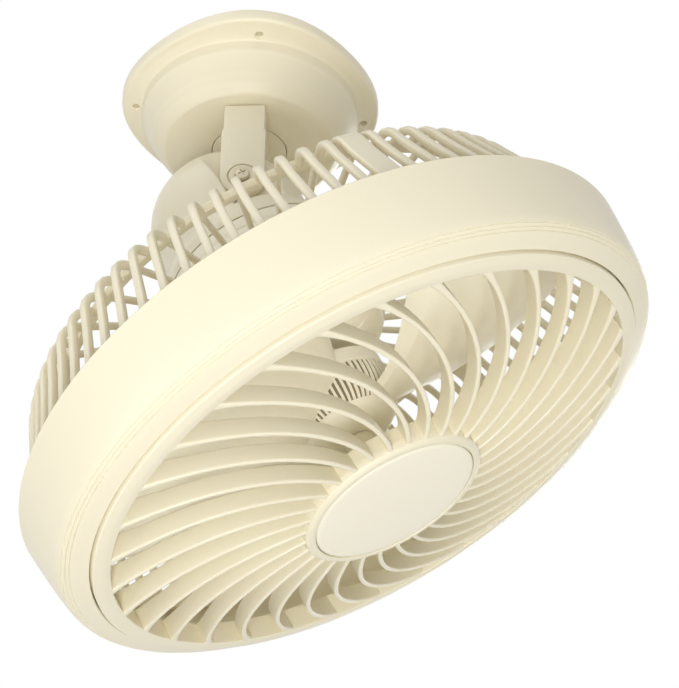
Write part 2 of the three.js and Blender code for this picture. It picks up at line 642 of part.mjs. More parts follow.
const housingBack = BALL_SKIRT_STATION - CLEARANCE;
const stackFront = 110;
const stackBack = stackFront + STACK_LENGTH;
const seatFace = GUARD_SEAT_STATION - 4;
const guardScrewAngles = [45, 135, 225, 315];
const coverScrewAngles = [0, 120, 240];
const guardScrewCircle = (GUARD_SEAT_RADIUS + HOUSING_RADIUS) / 2 + 0.6;

function motorHousing() {
  const inner = HOUSING_RADIUS - HOUSING_WALL;
  return revolve([[inner, HOUSING_FRONT_STATION], [HOUSING_RADIUS - 1.5, HOUSING_FRONT_STATION],
    [HOUSING_RADIUS, HOUSING_FRONT_STATION + 3], [HOUSING_RADIUS, seatFace - 3],
    [GUARD_SEAT_RADIUS, seatFace - 3], [GUARD_SEAT_RADIUS, seatFace], [HOUSING_RADIUS, seatFace],
    [HOUSING_RADIUS, housingBack], [inner, housingBack], [inner, stackBack],
    [STACK_RADIUS + CLEARANCE, stackBack], [STACK_RADIUS + CLEARANCE, stackFront], [inner, stackFront]], FINE);
}
function withGuardScrewHoles(geometry, low, high) {
  return cut(geometry, ...guardScrewAngles.map((angle) => {
    const at = polar(guardScrewCircle, angle);
    const bore = rod(1.5 + CLEARANCE, low, high, 8);
    bore.translate(at.x, at.y, 0);
    return bore;
  }));
}
head.add(piece('motor_housing', withGuardScrewHoles(motorHousing(), seatFace - 4, seatFace + 1), plastic));

const bearingBore = SHAFT_RADIUS + CLEARANCE;
const motorBearingRadius = 11;
const motorBearingWidth = 7;
const frontBearingBase = FRONT_COVER_STATION + 4;
function motorFrontCover() {
  const inner = motorBearingRadius + CLEARANCE;
  const rim = HOUSING_RADIUS - HOUSING_WALL - CLEARANCE;
  const ventInner = 27;
  const ventOuter = 45;
  const face = (radius) => FRONT_COVER_STATION + 2 + 11 * ((radius - ventInner) / (rim - ventInner)) ** 2;
  const stations = [
    [7, FRONT_COVER_STATION, FRONT_COVER_STATION + 2.4],
    [inner + 2.4, FRONT_COVER_STATION, FRONT_COVER_STATION + 2.4],
    [ventInner, FRONT_COVER_STATION + 2, FRONT_COVER_STATION + 5],
    [ventOuter, face(ventOuter), face(ventOuter) + 3],
    [rim, HOUSING_FRONT_STATION - 1.4, HOUSING_FRONT_STATION + 2.2]];
  const angleOf = (index) => ((360 / VENT_COUNT) * Math.floor(index / 2) + (index % 2 ? 7 : 0));
  const wrap = (index) => index % (2 * VENT_COUNT);
  const cells = [];
  for (let station = 0; station < stations.length - 1; station += 1) {
    const open = station === 2;
    for (let rib = 0; rib < VENT_COUNT; rib += 1) {
      cells.push([station, 2 * rib, 2 * rib + 1]);
      if (!open) cells.push([station, 2 * rib + 1, wrap(2 * rib + 2)]);
    }
  }
  const shell = windowedShell(
    (station, index) => polar(stations[station][0], angleOf(index), stations[station][1]),
    (station, index) => polar(stations[station][0], angleOf(index), stations[station][2]), cells);
  const seat = tube(inner, inner + 2.4, FRONT_COVER_STATION + 1, frontBearingBase + motorBearingWidth);
  return join(shell, seat);
}
head.add(piece('motor_front_cover', motorFrontCover(), plastic));

const frontBearing = piece('motor_bearing_front',
  ballBearing(bearingBore, motorBearingRadius, motorBearingWidth), steel);
frontBearing.position.z = frontBearingBase;
const rearBearingBase = BALL_SKIRT_STATION + 2;
const rearBearing = piece('motor_bearing_rear',
  ballBearing(bearingBore, motorBearingRadius, motorBearingWidth), steel);
rearBearing.position.z = rearBearingBase;
head.add(frontBearing, rearBearing);

// The rear bearing sits in a spider that is trapped between housing and rear cover.
function bearingSpider() {
  const inner = motorBearingRadius + CLEARANCE;
  const plateRim = BALL_RADIUS - BALL_WALL - 2 * CLEARANCE;
  const seat = tube(inner, inner + 2.4, rearBearingBase - 0.5, rearBearingBase + motorBearingWidth + 1);
  const floor = tube(7, inner + 1, rearBearingBase + motorBearingWidth + CLEARANCE,
    rearBearingBase + motorBearingWidth + 2.4);
  const plate = tube(inner + 1, plateRim, rearBearingBase, rearBearingBase + 2.4, FINE);
  const vents = [0, 1, 2, 3, 4, 5].map((i) => {
    const opening = rod(6, rearBearingBase - 1, rearBearingBase + 4, 8);
    const at = polar(29, 60 * i);
    opening.translate(at.x, at.y, 0);
    return opening;
  });
  return cut(join(seat, floor, plate), ...vents);
}
head.add(piece('bearing_spider', bearingSpider(), steel));

const airGap = 0.6;
function statorCore() {
  const slots = 12;
  const yokeInner = STACK_RADIUS - 7;
  const stack = tube(ROTOR_RADIUS + airGap, STACK_RADIUS, stackFront + CLEARANCE, stackBack - CLEARANCE, FINE);
  const windows = Array.from({ length: slots }, (_, i) => {
    const slot = block(yokeInner - ROTOR_RADIUS - 2, 4.4, STACK_LENGTH + 4,
      (yokeInner + ROTOR_RADIUS + 2) / 2, 0, (stackFront + stackBack) / 2);
    slot.rotateZ((360 / slots) * i * degrees);
    return slot;
  });
  return cut(stack, ...windows);
}
head.add(piece('stator_core', statorCore(), steel));

const windingProfile = (low, high) => [[ROTOR_RADIUS + 4, low + 2], [ROTOR_RADIUS + 6, low],
  [STACK_RADIUS - 5, low + 1], [STACK_RADIUS - 5, high - 1], [ROTOR_RADIUS + 6, high],
  [ROTOR_RADIUS + 4, high - 2]];
const windingHeight = 9;
head.add(
  piece('stator_winding_front', revolve(windingProfile(stackFront - windingHeight - CLEARANCE,
    stackFront - CLEARANCE), 24), copper),
  piece('stator_winding_rear', revolve(windingProfile(stackBack + CLEARANCE,
    stackBack + windingHeight + CLEARANCE), 24), copper));

// ---------------------------------------------------------------- shape of the outer ring
const ringOuter = (station) => {
  const share = (station - RING_EDGE_STATION) / (RING_REAR_STATION - RING_EDGE_STATION);
  return RING_EDGE_RADIUS + RING_FLARE * share ** 0.7;
};
const ringInner = (station) => ringOuter(station) - RING_WALL;
const ringNose = (share, behind = 0) => [RING_EDGE_RADIUS - RING_NOSE_WIDTH * share,
  RING_EDGE_STATION - (RING_EDGE_STATION - RING_NOSE_STATION) * share ** 0.62 + behind];

// ---------------------------------------------------------------- rear guard
const shoulderBend = 10;
const guardStations = (() => {
  const flange = ringInner(GUARD_FRONT_STATION) - GUARD_RING_GAP;
  const shoulder = GUARD_SHOULDER_RADIUS;
  const top = GUARD_SHOULDER_STATION;
  const depth = GUARD_RIB_DEPTH;
  const rear = GUARD_SEAT_STATION - 0.6;
  const front = seatFace + CLEARANCE;
  const bore = HOUSING_RADIUS + 2 * CLEARANCE;
  return [
    { outer: [flange, GUARD_FRONT_STATION], inner: [flange - depth, GUARD_FRONT_STATION] },
    { outer: [flange, RING_REAR_STATION + 1], inner: [flange - depth, RING_REAR_STATION + 0.4] },
    { outer: [shoulder + 7, top - shoulderBend], inner: [shoulder + 7 - depth, top - shoulderBend - 1] },
    { outer: [shoulder - 2.5, top + 2.4], inner: [shoulder - 4.6, top - 1.6] },
    { outer: [shoulder - 13.5, top + 4.3], inner: [shoulder - 13.9, top] },
    { outer: [shoulder - 19, top + 4.8], inner: [shoulder - 19.2, top + 0.6] },
    { outer: [GUARD_SEAT_RADIUS + 0.5, rear], inner: [GUARD_SEAT_RADIUS + 0.5, front] },
    { outer: [bore, rear], inner: [bore, front] },
  ];
})();
const ribPitch = 360 / GUARD_RIBS;

function rearGuard() {
  const lastSideStation = 3;
  const panels = Array.from({ length: GUARD_PANELS },
    (_, i) => Math.round(GUARD_FIRST_PANEL + (i * GUARD_RIBS) / GUARD_PANELS));
  const angleOf = (station, index) => {
    const rib = Math.floor(index / 2);
    const radius = guardStations[station].outer[0];
    const share = Math.min(1, radius / GUARD_FULL_RADIUS);
    const plain = Math.max(GUARD_INNER_RIB_WIDTH, GUARD_RIB_WIDTH * share);
    const width = panels.includes(rib) && station < lastSideStation + 2 ? GUARD_PANEL_WIDTH : plain;
    const half = width / radius / degrees / 2;
    const lean = GUARD_SLANT * Math.max(0, (lastSideStation - station) / lastSideStation - 0.25);
    return GUARD_PHASE + rib * ribPitch - lean + (index % 2 ? half : -half);
  };
  const count = 2 * GUARD_RIBS;
  const wrap = (index) => ((index % count) + count) % count;
  const cells = [];
  const fullRings = [0, 4];
  for (let rib = 0; rib < GUARD_RIBS; rib += 1) {
    const next = wrap(2 * rib + 2);
    for (let station = 0; station <= 4; station += 1) {
      cells.push([station, 2 * rib, 2 * rib + 1]);
      if (fullRings.includes(station)) cells.push([station, 2 * rib + 1, next]);
    }
    if (rib % 2 === 0) {
      const spoke = [2 * rib, 2 * rib + 1];
      cells.push([5, ...spoke], [6, ...spoke], [6, 2 * rib + 1, wrap(2 * rib + 4)]);
    }
  }
  const place = (side) => (station, index) => {
    const [radius, z] = guardStations[station][side];
    return polar(radius, angleOf(station, index), z);
  };
  return windowedShell(place('outer'), place('inner'), cells);
}
head.add(piece('rear_guard', withGuardScrewHoles(rearGuard(), seatFace - 1, GUARD_SEAT_STATION + 1), plastic));

guardScrewAngles.forEach((angle, i) => {
  const fastener = piece(`guard_screw_${i + 1}`,
    screw(2.9, 1.8, 1.5, GUARD_SEAT_STATION - seatFace + 2), steel);
  fastener.position.copy(polar(guardScrewCircle, angle, GUARD_SEAT_STATION - 0.6 + CLEARANCE));
  head.add(fastener);
});

// ---------------------------------------------------------------- outer ring
function outerRing() {
  const lipInner = SEAM_RADIUS + CLEARANCE;
  const seatBack = GRILLE_RIM_DEPTH - 2;
  const seatWall = 2.4;
  const bandStation = 26;
  return revolve([
    [ringInner(RING_REAR_STATION), RING_REAR_STATION], [ringOuter(RING_REAR_STATION), RING_REAR_STATION],
    [ringOuter(bandStation), bandStation], [ringOuter(14), 14], ringNose(0), ringNose(0.36), ringNose(0.7),
    [lipInner, RING_NOSE_STATION + 0.5], [lipInner, seatBack], [lipInner + seatWall, seatBack],
    ringNose(0.8, RING_WALL),
    [RING_EDGE_RADIUS - RING_WALL, 13], [ringInner(bandStation), bandStation]], SEGMENTS);
}
head.add(piece('outer_ring', outerRing(), plastic));

// ---------------------------------------------------------------- front grille
const rimInner = SEAM_RADIUS - GRILLE_RIM_WIDTH;
const hubDrop = 2;                 // the hub's edge lies behind the badge by this
const rimFront = -1;
const grilleFace = (radius) => {
  const share = (radius - HUB_RADIUS) / (rimInner - HUB_RADIUS);
  return hubDrop - GRILLE_DOME + (GRILLE_DOME - hubDrop + rimFront) * share ** 1.5;
};
const hubBack = -GRILLE_DOME + 6;
const grilleStations = (() => {
  const badgeSeat = -GRILLE_DOME + BADGE_THICKNESS;
  const stations = [
    { radius: 8, front: badgeSeat, back: hubBack },
    { radius: BADGE_RADIUS + CLEARANCE, front: badgeSeat, back: hubBack },
    { radius: BADGE_RADIUS + CLEARANCE + 0.6, front: -GRILLE_DOME + 0.2, back: hubBack + 2 },
    { radius: HUB_RADIUS, front: grilleFace(HUB_RADIUS), back: grilleFace(HUB_RADIUS) + GRILLE_RIB_DEPTH },
  ];
  const ribSteps = 7;
  for (let i = 1; i < ribSteps; i += 1) {
    const radius = HUB_RADIUS + (rimInner - HUB_RADIUS) * (i / ribSteps);
    stations.push({ radius, front: grilleFace(radius), back: grilleFace(radius) + GRILLE_RIB_DEPTH });
  }
  stations.push(
    { radius: rimInner, front: rimFront, back: GRILLE_RIM_DEPTH - 2 },
    { radius: SEAM_RADIUS, front: 0.8, back: GRILLE_RIM_DEPTH });
  return stations;
})();

function frontGrille() {
  const hubStation = 3;
  const rimStation = grilleStations.length - 2;
  const angleOf = (station, index) => {
    const rib = Math.floor(index / 2);
    const radius = grilleStations[station].radius;
    const ribLength = SEAM_RADIUS - HUB_RADIUS;
    const share = Math.max(0, (radius - HUB_RADIUS) / ribLength);
    const slope = GRILLE_SWEEP * degrees * GRILLE_BEND * share ** (GRILLE_BEND - 1) / ribLength;
    const width = GRILLE_RIB_THICKNESS * Math.sqrt(1 + (radius * slope) ** 2);
    const half = width / Math.max(radius, HUB_RADIUS) / degrees / 2;
    const middle = GRILLE_PHASE + (360 / GRILLE_RIBS) * rib - GRILLE_SWEEP * share ** GRILLE_BEND;
    return middle + (index % 2 ? half : -half);
  };
  const count = 2 * GRILLE_RIBS;
  const cells = [];
  for (let rib = 0; rib < GRILLE_RIBS; rib += 1) {
    for (let station = 0; station <= rimStation; station += 1) {
      cells.push([station, 2 * rib, 2 * rib + 1]);
      if (station < hubStation || station === rimStation) {
        cells.push([station, 2 * rib + 1, (2 * rib + 2) % count]);
      }
    }
  }
  const place = (side) => (station, index) => {
    const at = grilleStations[station];
    return polar(at.radius, angleOf(station, index), at[side]);
  };
  return windowedShell(place('front'), place('back'), cells);
}
head.add(piece('front_grille', frontGrille(), plastic));

const badgeBack = -GRILLE_DOME + BADGE_THICKNESS - CLEARANCE;
head.add(piece('badge_disc', revolve([[0, badgeBack], [BADGE_RADIUS, badgeBack],
  [BADGE_RADIUS, -GRILLE_DOME + 0.6], [BADGE_RADIUS - 1, -GRILLE_DOME],
  [0, -GRILLE_DOME - 1]], FINE), badgePlastic));

// ---------------------------------------------------------------- spinning parts
const spin = new THREE.Group();
head.add(spin);
const hubFront = BLADE_STATION - 20;
const hubRear = BLADE_STATION + 18;
const shaftFront = hubFront - 6;
spin.add(piece('motor_shaft',
  rod(SHAFT_RADIUS, shaftFront, rearBearingBase + motorBearingWidth, SMALL), steel));
spin.add(piece('rotor_core',
  tube(SHAFT_RADIUS + CLEARANCE, ROTOR_RADIUS, stackFront - 1, stackBack + 1, 24), steel));

function fanBlade(angle) {
  const rootRadius = BLADE_HUB_RADIUS - 6;
  const radialSteps = 6;
  const chordSteps = 5;
  const sections = [];
  for (let i = 0; i <= radialSteps; i += 1) {
    const share = i / radialSteps;
    const radius = rootRadius + (BLADE_TIP_RADIUS - rootRadius) * share;
    const pitch = (BLADE_PITCH_ROOT + (BLADE_PITCH_TIP - BLADE_PITCH_ROOT) * share) * degrees;
    const widening = Math.sin(Math.min(1, share * 1.05) * 100 * degrees);
    const halfChord = BLADE_ROOT_HALF_CHORD + BLADE_CHORD_GAIN * widening;
    const sweep = BLADE_SWEEP * degrees * share ** 1.3;
    const upper = [];
    const lower = [];
    for (let k = 0; k <= chordSteps; k += 1) {
      const along = (k / chordSteps) * 2 - 1;
      const tipRounding = share > 0.9 ? 0.9 : 1;
      const chordwise = along * halfChord * tipRounding;
      const camber = BLADE_CAMBER * (1 - along * along);
      const turn = (chordwise * Math.cos(pitch)) / radius + sweep;
      const rise = chordwise * Math.sin(pitch) * BLADE_RISE;
      const axial = BLADE_STATION - BLADE_FORWARD + rise - camber;
      const half = BLADE_THICKNESS / 2 * (1 - 0.5 * along * along);
      const at = polar(radius, angle + turn / degrees);
      upper.push(new THREE.Vector3(at.x, at.y, axial - half));
      lower.push(new THREE.Vector3(at.x, at.y, axial + half));
    }
    sections.push([...upper, ...lower.reverse()]);
  }
  return loft(sections);
}

// Joins closed sections of equally many points and closes the two end faces.
function loft(sections) {
  const size = sections[0].length;
  const positions = sections.flat().flatMap((point) => [point.x, point.y, point.z]);
  const triangles = [];
  for (let s = 0; s < sections.length - 1; s += 1) {
    for (let k = 0; k < size; k += 1) {
      const a = s * size + k;
      const b = s * size + ((k + 1) % size);
      triangles.push(a, b, b + size, a, b + size, a + size);
    }
  }
  const last = (sections.length - 1) * size;
  for (let k = 0; k < size / 2 - 1; k += 1) {
    const opposite = size - 1 - k;
    triangles.push(k, opposite, opposite - 1, k, opposite - 1, k + 1);
    const near = last + k;
    const far = last + opposite - 1;
    triangles.push(near, far, far + 1, near, near + 1, far);
  }
  const geometry = new THREE.BufferGeometry();
  geometry.setAttribute('position', new THREE.Float32BufferAttribute(positions, 3));
  geometry.setIndex(triangles);
  return tidy(geometry);
}

function bladeWheel() {
  const bore = SHAFT_RADIUS + CLEARANCE;
  const hub = revolve([[bore, hubFront], [10, hubFront], [20, hubFront + 2.5], [28, hubFront + 8],
    [BLADE_HUB_RADIUS - 1.5, hubFront + 16], [BLADE_HUB_RADIUS, hubRear], [BLADE_HUB_RADIUS - 2.6, hubRear],
    [BLADE_HUB_RADIUS - 4, hubFront + 17], [25, hubFront + 10], [13, hubFront + 6],
    [10, hubRear - 4], [bore, hubRear - 4]], 30);
  const blades = Array.from({ length: BLADE_COUNT },
    (_, i) => fanBlade((360 / BLADE_COUNT) * i + BLADE_TURN));
  const core = rod(BLADE_HUB_RADIUS - 3, 0, 2 * BLADE_STATION, 30);
  return join(hub, ...blades.map((blade) => cut(blade, core)));
}
spin.add(piece('fan_blade_wheel', bladeWheel(), plastic));
spin.add(piece('blade_nut', revolve([[SHAFT_RADIUS + CLEARANCE, hubFront - CLEARANCE],
  [8.5, hubFront - CLEARANCE], [8.5, hubFront - 5], [6, hubFront - 9], [0, hubFront - 9],
  [0, shaftFront - CLEARANCE], [SHAFT_RADIUS + CLEARANCE, shaftFront - CLEARANCE]], 16), darkPlastic));

export default fan;
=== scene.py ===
"""Looks for an orbital ceiling fan: a canopy, a turning yoke and a tilting, caged fan head."""

import json
import math

import bmesh
import bpy
from mathutils import Matrix, Vector


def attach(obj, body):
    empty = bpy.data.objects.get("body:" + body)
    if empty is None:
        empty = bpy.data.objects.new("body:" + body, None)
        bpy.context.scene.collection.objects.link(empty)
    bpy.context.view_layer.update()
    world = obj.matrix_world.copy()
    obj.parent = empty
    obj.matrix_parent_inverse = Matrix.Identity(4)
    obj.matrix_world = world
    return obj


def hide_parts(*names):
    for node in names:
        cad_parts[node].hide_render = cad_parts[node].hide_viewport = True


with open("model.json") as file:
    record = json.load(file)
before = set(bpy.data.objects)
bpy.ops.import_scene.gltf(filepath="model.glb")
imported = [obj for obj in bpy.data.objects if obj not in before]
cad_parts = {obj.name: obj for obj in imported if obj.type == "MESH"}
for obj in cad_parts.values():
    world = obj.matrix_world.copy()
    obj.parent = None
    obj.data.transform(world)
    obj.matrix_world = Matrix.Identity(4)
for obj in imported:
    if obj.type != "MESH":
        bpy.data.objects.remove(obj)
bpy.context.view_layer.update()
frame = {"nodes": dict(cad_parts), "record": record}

# ------------------------------------------------------------------ camera and room
# The fan hangs from a ceiling and is seen from below and in front, with a long lens about a
# metre away. The room is plain, with a pale floor far below and white all round, and its
# soft light is a little stronger from the left and from the viewer's side.
SENSOR_MM, PICTURE_PX, FOCAL_PX = 36, 688, 1700
FLOOR_HALF_WIDTH, FLOOR_DROP = 9, 2.35
FAN_MIDDLE = Vector((0.02, 0, -0.2))

scene = bpy.context.scene
scene.view_settings.view_transform = "Standard"

camera_data = bpy.data.cameras.new("camera")
camera_data.sensor_width = SENSOR_MM
camera_data.lens = FOCAL_PX / PICTURE_PX * SENSOR_MM
camera_data.clip_start, camera_data.clip_end = 0.05, 30
camera = bpy.data.objects.new("camera", camera_data)
camera_spot = (0.06563, -0.79167, -0.71863)
camera_right = Vector((0.99986, 0.01622, -0.00325))
camera_down = Vector((-0.01179, 0.56148, -0.8274))
camera_forward = Vector((-0.01159, 0.82733, 0.5616))
camera.matrix_world = Matrix.Translation(camera_spot) @ Matrix(
    (camera_right, -camera_down, -camera_forward)).transposed().to_4x4()
scene.collection.objects.link(camera)
scene.camera = camera


def ranged(tree, value, low, high, from_low=0.0, from_high=1.0):
    """Carries a value from one range to the range from low to high."""
    carried = tree.nodes.new("ShaderNodeMapRange")
    carried.inputs["From Min"].default_value = from_low
    carried.inputs["From Max"].default_value = from_high
    carried.inputs["To Min"].default_value = low
    carried.inputs["To Max"].default_value = high
    tree.links.new(value, carried.inputs["Value"])
    return carried.outputs["Result"]


def white_to_the_eye(tree, lit, white):
    """White for camera, glossy and transmitted rays, and the lit shader for all others."""
    path = tree.nodes.new("ShaderNodeLightPath")
    seen = path.outputs["Is Camera Ray"]
    for ray in ("Is Glossy Ray", "Is Transmission Ray"):
        either = tree.nodes.new("ShaderNodeMath")
        either.operation = "MAXIMUM"
        tree.links.new(seen, either.inputs[0])
        tree.links.new(path.outputs[ray], either.inputs[1])
        seen = either.outputs[0]
    mix = tree.nodes.new("ShaderNodeMixShader")
    tree.links.new(seen, mix.inputs["Fac"])
    tree.links.new(lit.outputs[0], mix.inputs[1])
    tree.links.new(white.outputs[0], mix.inputs[2])
    return mix.outputs[0]


world = bpy.data.worlds.new("room")
scene.world = world
world.use_nodes = True
room = world.node_tree
room_light = room.nodes["Background"]
room_light.inputs["Color"].default_value = (1.0, 0.985, 0.96, 1)
bright_side = room.nodes.new("ShaderNodeVectorMath")
bright_side.operation = "DOT_PRODUCT"
bright_side.inputs[1].default_value = (-0.48, -0.87, -0.1)
room.links.new(room.nodes.new("ShaderNodeTexCoord").outputs["Generated"], bright_side.inputs[0])
room_strength = ranged(room, bright_side.outputs["Value"], 0.42, 0.66, from_low=-1.0)
room.links.new(room_strength, room_light.inputs["Strength"])
room_white = room.nodes.new("ShaderNodeBackground")
room_white.inputs["Color"].default_value = (1, 1, 1, 1)
room_seen = white_to_the_eye(room, room_light, room_white)
room.links.new(room_seen, room.nodes["World Output"].inputs["Surface"])

floor_mesh = bmesh.new()
bmesh.ops.create_grid(floor_mesh, x_segments=1, y_segments=1, size=FLOOR_HALF_WIDTH)
bmesh.ops.translate(floor_mesh, vec=(0, 0, -FLOOR_DROP), verts=floor_mesh.verts)
floor_data = bpy.data.meshes.new("floor")
floor_mesh.to_mesh(floor_data)
floor_mesh.free()
floor = bpy.data.objects.new("floor", floor_data)
scene.collection.objects.link(floor)
floor_paint = bpy.data.materials.new("floor_paint")
floor_paint.use_nodes = True
paint = floor_paint.node_tree
paint_lit = paint.nodes["Principled BSDF"]
paint_lit.inputs["Base Color"].default_value = (0.7, 0.7, 0.69, 1)
paint_lit.inputs["Roughness"].default_value = 0.8
paint_seen = white_to_the_eye(paint, paint_lit, paint.nodes.new("ShaderNodeEmission"))
paint.links.new(paint_seen, paint.nodes["Material Output"].inputs["Surface"])
floor_data.materials.append(floor_paint)


def studio_lamp(name, towards, distance, size, watts, colour=(1, 1, 1)):
    """A square soft box, placed in that direction from the middle of the fan, facing it."""
    data = bpy.data.lights.new(name, "AREA")
    data.size, data.energy, data.color = size, watts, colour
    lamp = bpy.data.objects.new(name, data)
    direction = Vector(towards).normalized()
    lamp.location = FAN_MIDDLE + direction * distance
    lamp.rotation_mode = "QUATERNION"
    lamp.rotation_quaternion = direction.to_track_quat("Z", "Y")
    scene.collection.objects.link(lamp)


studio_lamp("soft_box_left", (-0.76, -0.5, -0.42), distance=1.6, size=0.9, watts=3.8,
            colour=(1, 0.99, 0.97))
studio_lamp("soft_box_above_left", (-0.5, -0.35, 0.8), distance=1.9, size=1.0, watts=3.5)
studio_lamp("soft_box_front", (0.06, -0.65, -0.75), distance=1.9, size=0.8, watts=23.0)
studio_lamp("soft_box_behind", (0.3, 0.87, 0.4), distance=1.9, size=1.1, watts=9.0)

# ------------------------------------------------------------------ moulded plastic
# Nearly all that shows is injection-moulded plastic in a warm ivory, satin from the tool,
# with a faint orange-peel skin, slow flow marks and a sheen that handling made uneven.
skin = bpy.data.node_groups.new("moulded_skin", "ShaderNodeTree")
for label, kind, value in (("Colour", "NodeSocketColor", (0.9, 0.85, 0.65, 1)),
                           ("Shade", "NodeSocketColor", (0.8, 0.74, 0.5, 1)),
                           ("Gloss", "NodeSocketFloat", 0.4),
                           ("Peel Size", "NodeSocketFloat", 900.0)):
    entry = skin.interface.new_socket(label, in_out="INPUT", socket_type=kind)
    entry.default_value = value
for label, kind in (("Colour", "NodeSocketColor"), ("Roughness", "NodeSocketFloat"),
                    ("Height", "NodeSocketFloat")):
    skin.interface.new_socket(label, in_out="OUTPUT", socket_type=kind)
skin_in, skin_out = skin.nodes.new("NodeGroupInput"), skin.nodes.new("NodeGroupOutput")


def noise_over(tree, detail, scale=None, rough=0.5):
    """Noise over the piece's own coordinates; a scale left out comes from a link."""
    place = tree.nodes.new("ShaderNodeTexCoord")
    noise = tree.nodes.new("ShaderNodeTexNoise")
    noise.inputs["Detail"].default_value = detail
    noise.inputs["Roughness"].default_value = rough
    if scale is not None:
        noise.inputs["Scale"].default_value = scale
    tree.links.new(place.outputs["Object"], noise.inputs["Vector"])
    return noise


flow_marks = noise_over(skin, 4.0, scale=9.0)
flow_share = ranged(skin, flow_marks.outputs["Fac"], 0.0, 0.22, from_low=0.35, from_high=0.7)
tint = skin.nodes.new("ShaderNodeMix")
tint.data_type = "RGBA"
skin.links.new(flow_share, tint.inputs["Factor"])
skin.links.new(skin_in.outputs["Colour"], tint.inputs["A"])
skin.links.new(skin_in.outputs["Shade"], tint.inputs["B"])
skin.links.new(tint.outputs["Result"], skin_out.inputs["Colour"])

handling = noise_over(skin, 6.0, scale=46.0, rough=0.62)
handling_share = ranged(skin, handling.outputs["Fac"], -0.05, 0.09, from_low=0.3, from_high=0.75)
gloss_sum = skin.nodes.new("ShaderNodeMath")
gloss_sum.operation = "ADD"
skin.links.new(skin_in.outputs["Gloss"], gloss_sum.inputs[0])
skin.links.new(handling_share, gloss_sum.inputs[1])
skin.links.new(gloss_sum.outputs[0], skin_out.inputs["Roughness"])

peel = noise_over(skin, 2.0)
skin.links.new(skin_in.outputs["Peel Size"], peel.inputs["Scale"])
skin.links.new(peel.outputs["Fac"], skin_out.inputs["Height"])


def moulded(name, colour, shade, gloss=0.4, peel_size=900.0, bump=0.03):
    """A plastic with the moulded skin: its colour, its duller shade, and how satin it is."""
    material = bpy.data.materials.new(name)
    material.use_nodes = True
    nodes, links = material.node_tree.nodes, material.node_tree.links
    surface = nodes["Principled BSDF"]
    marks = nodes.new("ShaderNodeGroup")
    marks.node_tree = skin
    marks.inputs["Colour"].default_value = (*colour, 1)
    marks.inputs["Shade"].default_value = (*shade, 1)
    marks.inputs["Gloss"].default_value = gloss
    marks.inputs["Peel Size"].default_value = peel_size
    relief = nodes.new("ShaderNodeBump")
    relief.inputs["Strength"].default_value = bump
    relief.inputs["Distance"].default_value = 0.0004
    links.new(marks.outputs["Colour"], surface.inputs["Base Color"])
    links.new(marks.outputs["Roughness"], surface.inputs["Roughness"])
    links.new(marks.outputs["Height"], relief.inputs["Height"])
    links.new(relief.outputs["Normal"], surface.inputs["Normal"])
    surface.inputs["IOR"].default_value = 1.49
    return material


ivory = moulded("ivory_plastic", (0.86, 0.80, 0.615), (0.81, 0.74, 0.545), 0.38)
ivory_inside = moulded("ivory_plastic_inside", (0.82, 0.75, 0.55), (0.76, 0.69, 0.48), 0.46)
# A paler copy of the same ivory for the blades, motor barrel, end cover and nut inside the cage:
# painted light, standing in for light that glows through the thin plastic and bounces round
# inside.
ivory_painted_light = moulded("ivory_plastic_painted_light", (0.95, 0.90, 0.735), (0.91, 0.85, 0.675), 0.4)

# ------------------------------------------------------------------ ceiling canopy
# A shallow moulded bowl with a soft rounded-square flange, four screw holes in its lobes,
# a round step, a dome and a flat face with a hole for the turning disc of the neck.
MM = 0.001
SHARP_FROM, SOFTENED_FROM = 34, 38  # degrees between two faces
CANOPY_RIM, CANOPY_FACE, CANOPY_HOLE, CANOPY_TURN = 78.7, -39.0, 22.75, math.radians(-82.6)
FLANGE_LOBE, FLANGE_OVAL, FLANGE_FROM, FLANGE_BLEND = 2.0, 1.3, 67.2, 8.8
SCREW_CIRCLE, SCREW_BOSS, SCREW_HOLE, SCREW_SINK = 70.5, 4.3, 2.15, 2.9


def spin_outline(outline, steps):
    """A solid of revolution about Z from a closed outline of (radius, station) in millimetres."""
    body = bmesh.new()
    points = [body.verts.new((radius * MM, 0, station * MM)) for radius, station in outline]
    on_axis = outline[0][0] == 0 and outline[-1][0] == 0
    pairs = list(zip(points, points[1:])) + ([] if on_axis else [(points[-1], points[0])])
    edges = [body.edges.new(pair) for pair in pairs]
    bmesh.ops.spin(body, geom=points + edges, cent=(0, 0, 0), axis=(0, 0, 1),
                   angle=2 * math.pi, steps=steps, use_merge=True)
    bmesh.ops.remove_doubles(body, verts=body.verts, dist=2e-6)
    bmesh.ops.dissolve_degenerate(body, dist=1e-6, edges=body.edges)
    bmesh.ops.recalc_face_normals(body, faces=body.faces)
    return body


def rod(radius, low, high, steps):
    """A plain cylinder about Z from station low to station high."""
    return spin_outline([(0, low), (radius, low), (radius, high), (0, high)], steps)


def rounded(outline, radius, bends=3):
    """The same closed outline with each of its corners off the axis turned into a short arc."""
    result = []
    for i, corner in enumerate(outline):
        at = Vector(corner)
        to_before = Vector(outline[i - 1]) - at
        to_after = Vector(outline[(i + 1) % len(outline)]) - at
        reach = min(radius, to_before.length * 0.45, to_after.length * 0.45)
        if reach < 1e-6 or abs(at.x) < 1e-9:
            result.append(tuple(at))
            continue
        start, stop = at + to_before.normalized() * reach, at + to_after.normalized() * reach
        for k in range(bends + 1):
            share = k / bends
            result.append(tuple(start.lerp(at, share).lerp(at.lerp(stop, share), share)))
    return result


def as_object(name, mesh, place=None):
    """Puts a finished bmesh into the scene as an object, at its place."""
    if place is not None:
        mesh.transform(place)
    bmesh.ops.recalc_face_normals(mesh, faces=mesh.faces)
    data = bpy.data.meshes.new(name)
    mesh.to_mesh(data)
    mesh.free()
    obj = bpy.data.objects.new(name, data)
    scene.collection.objects.link(obj)
    return obj


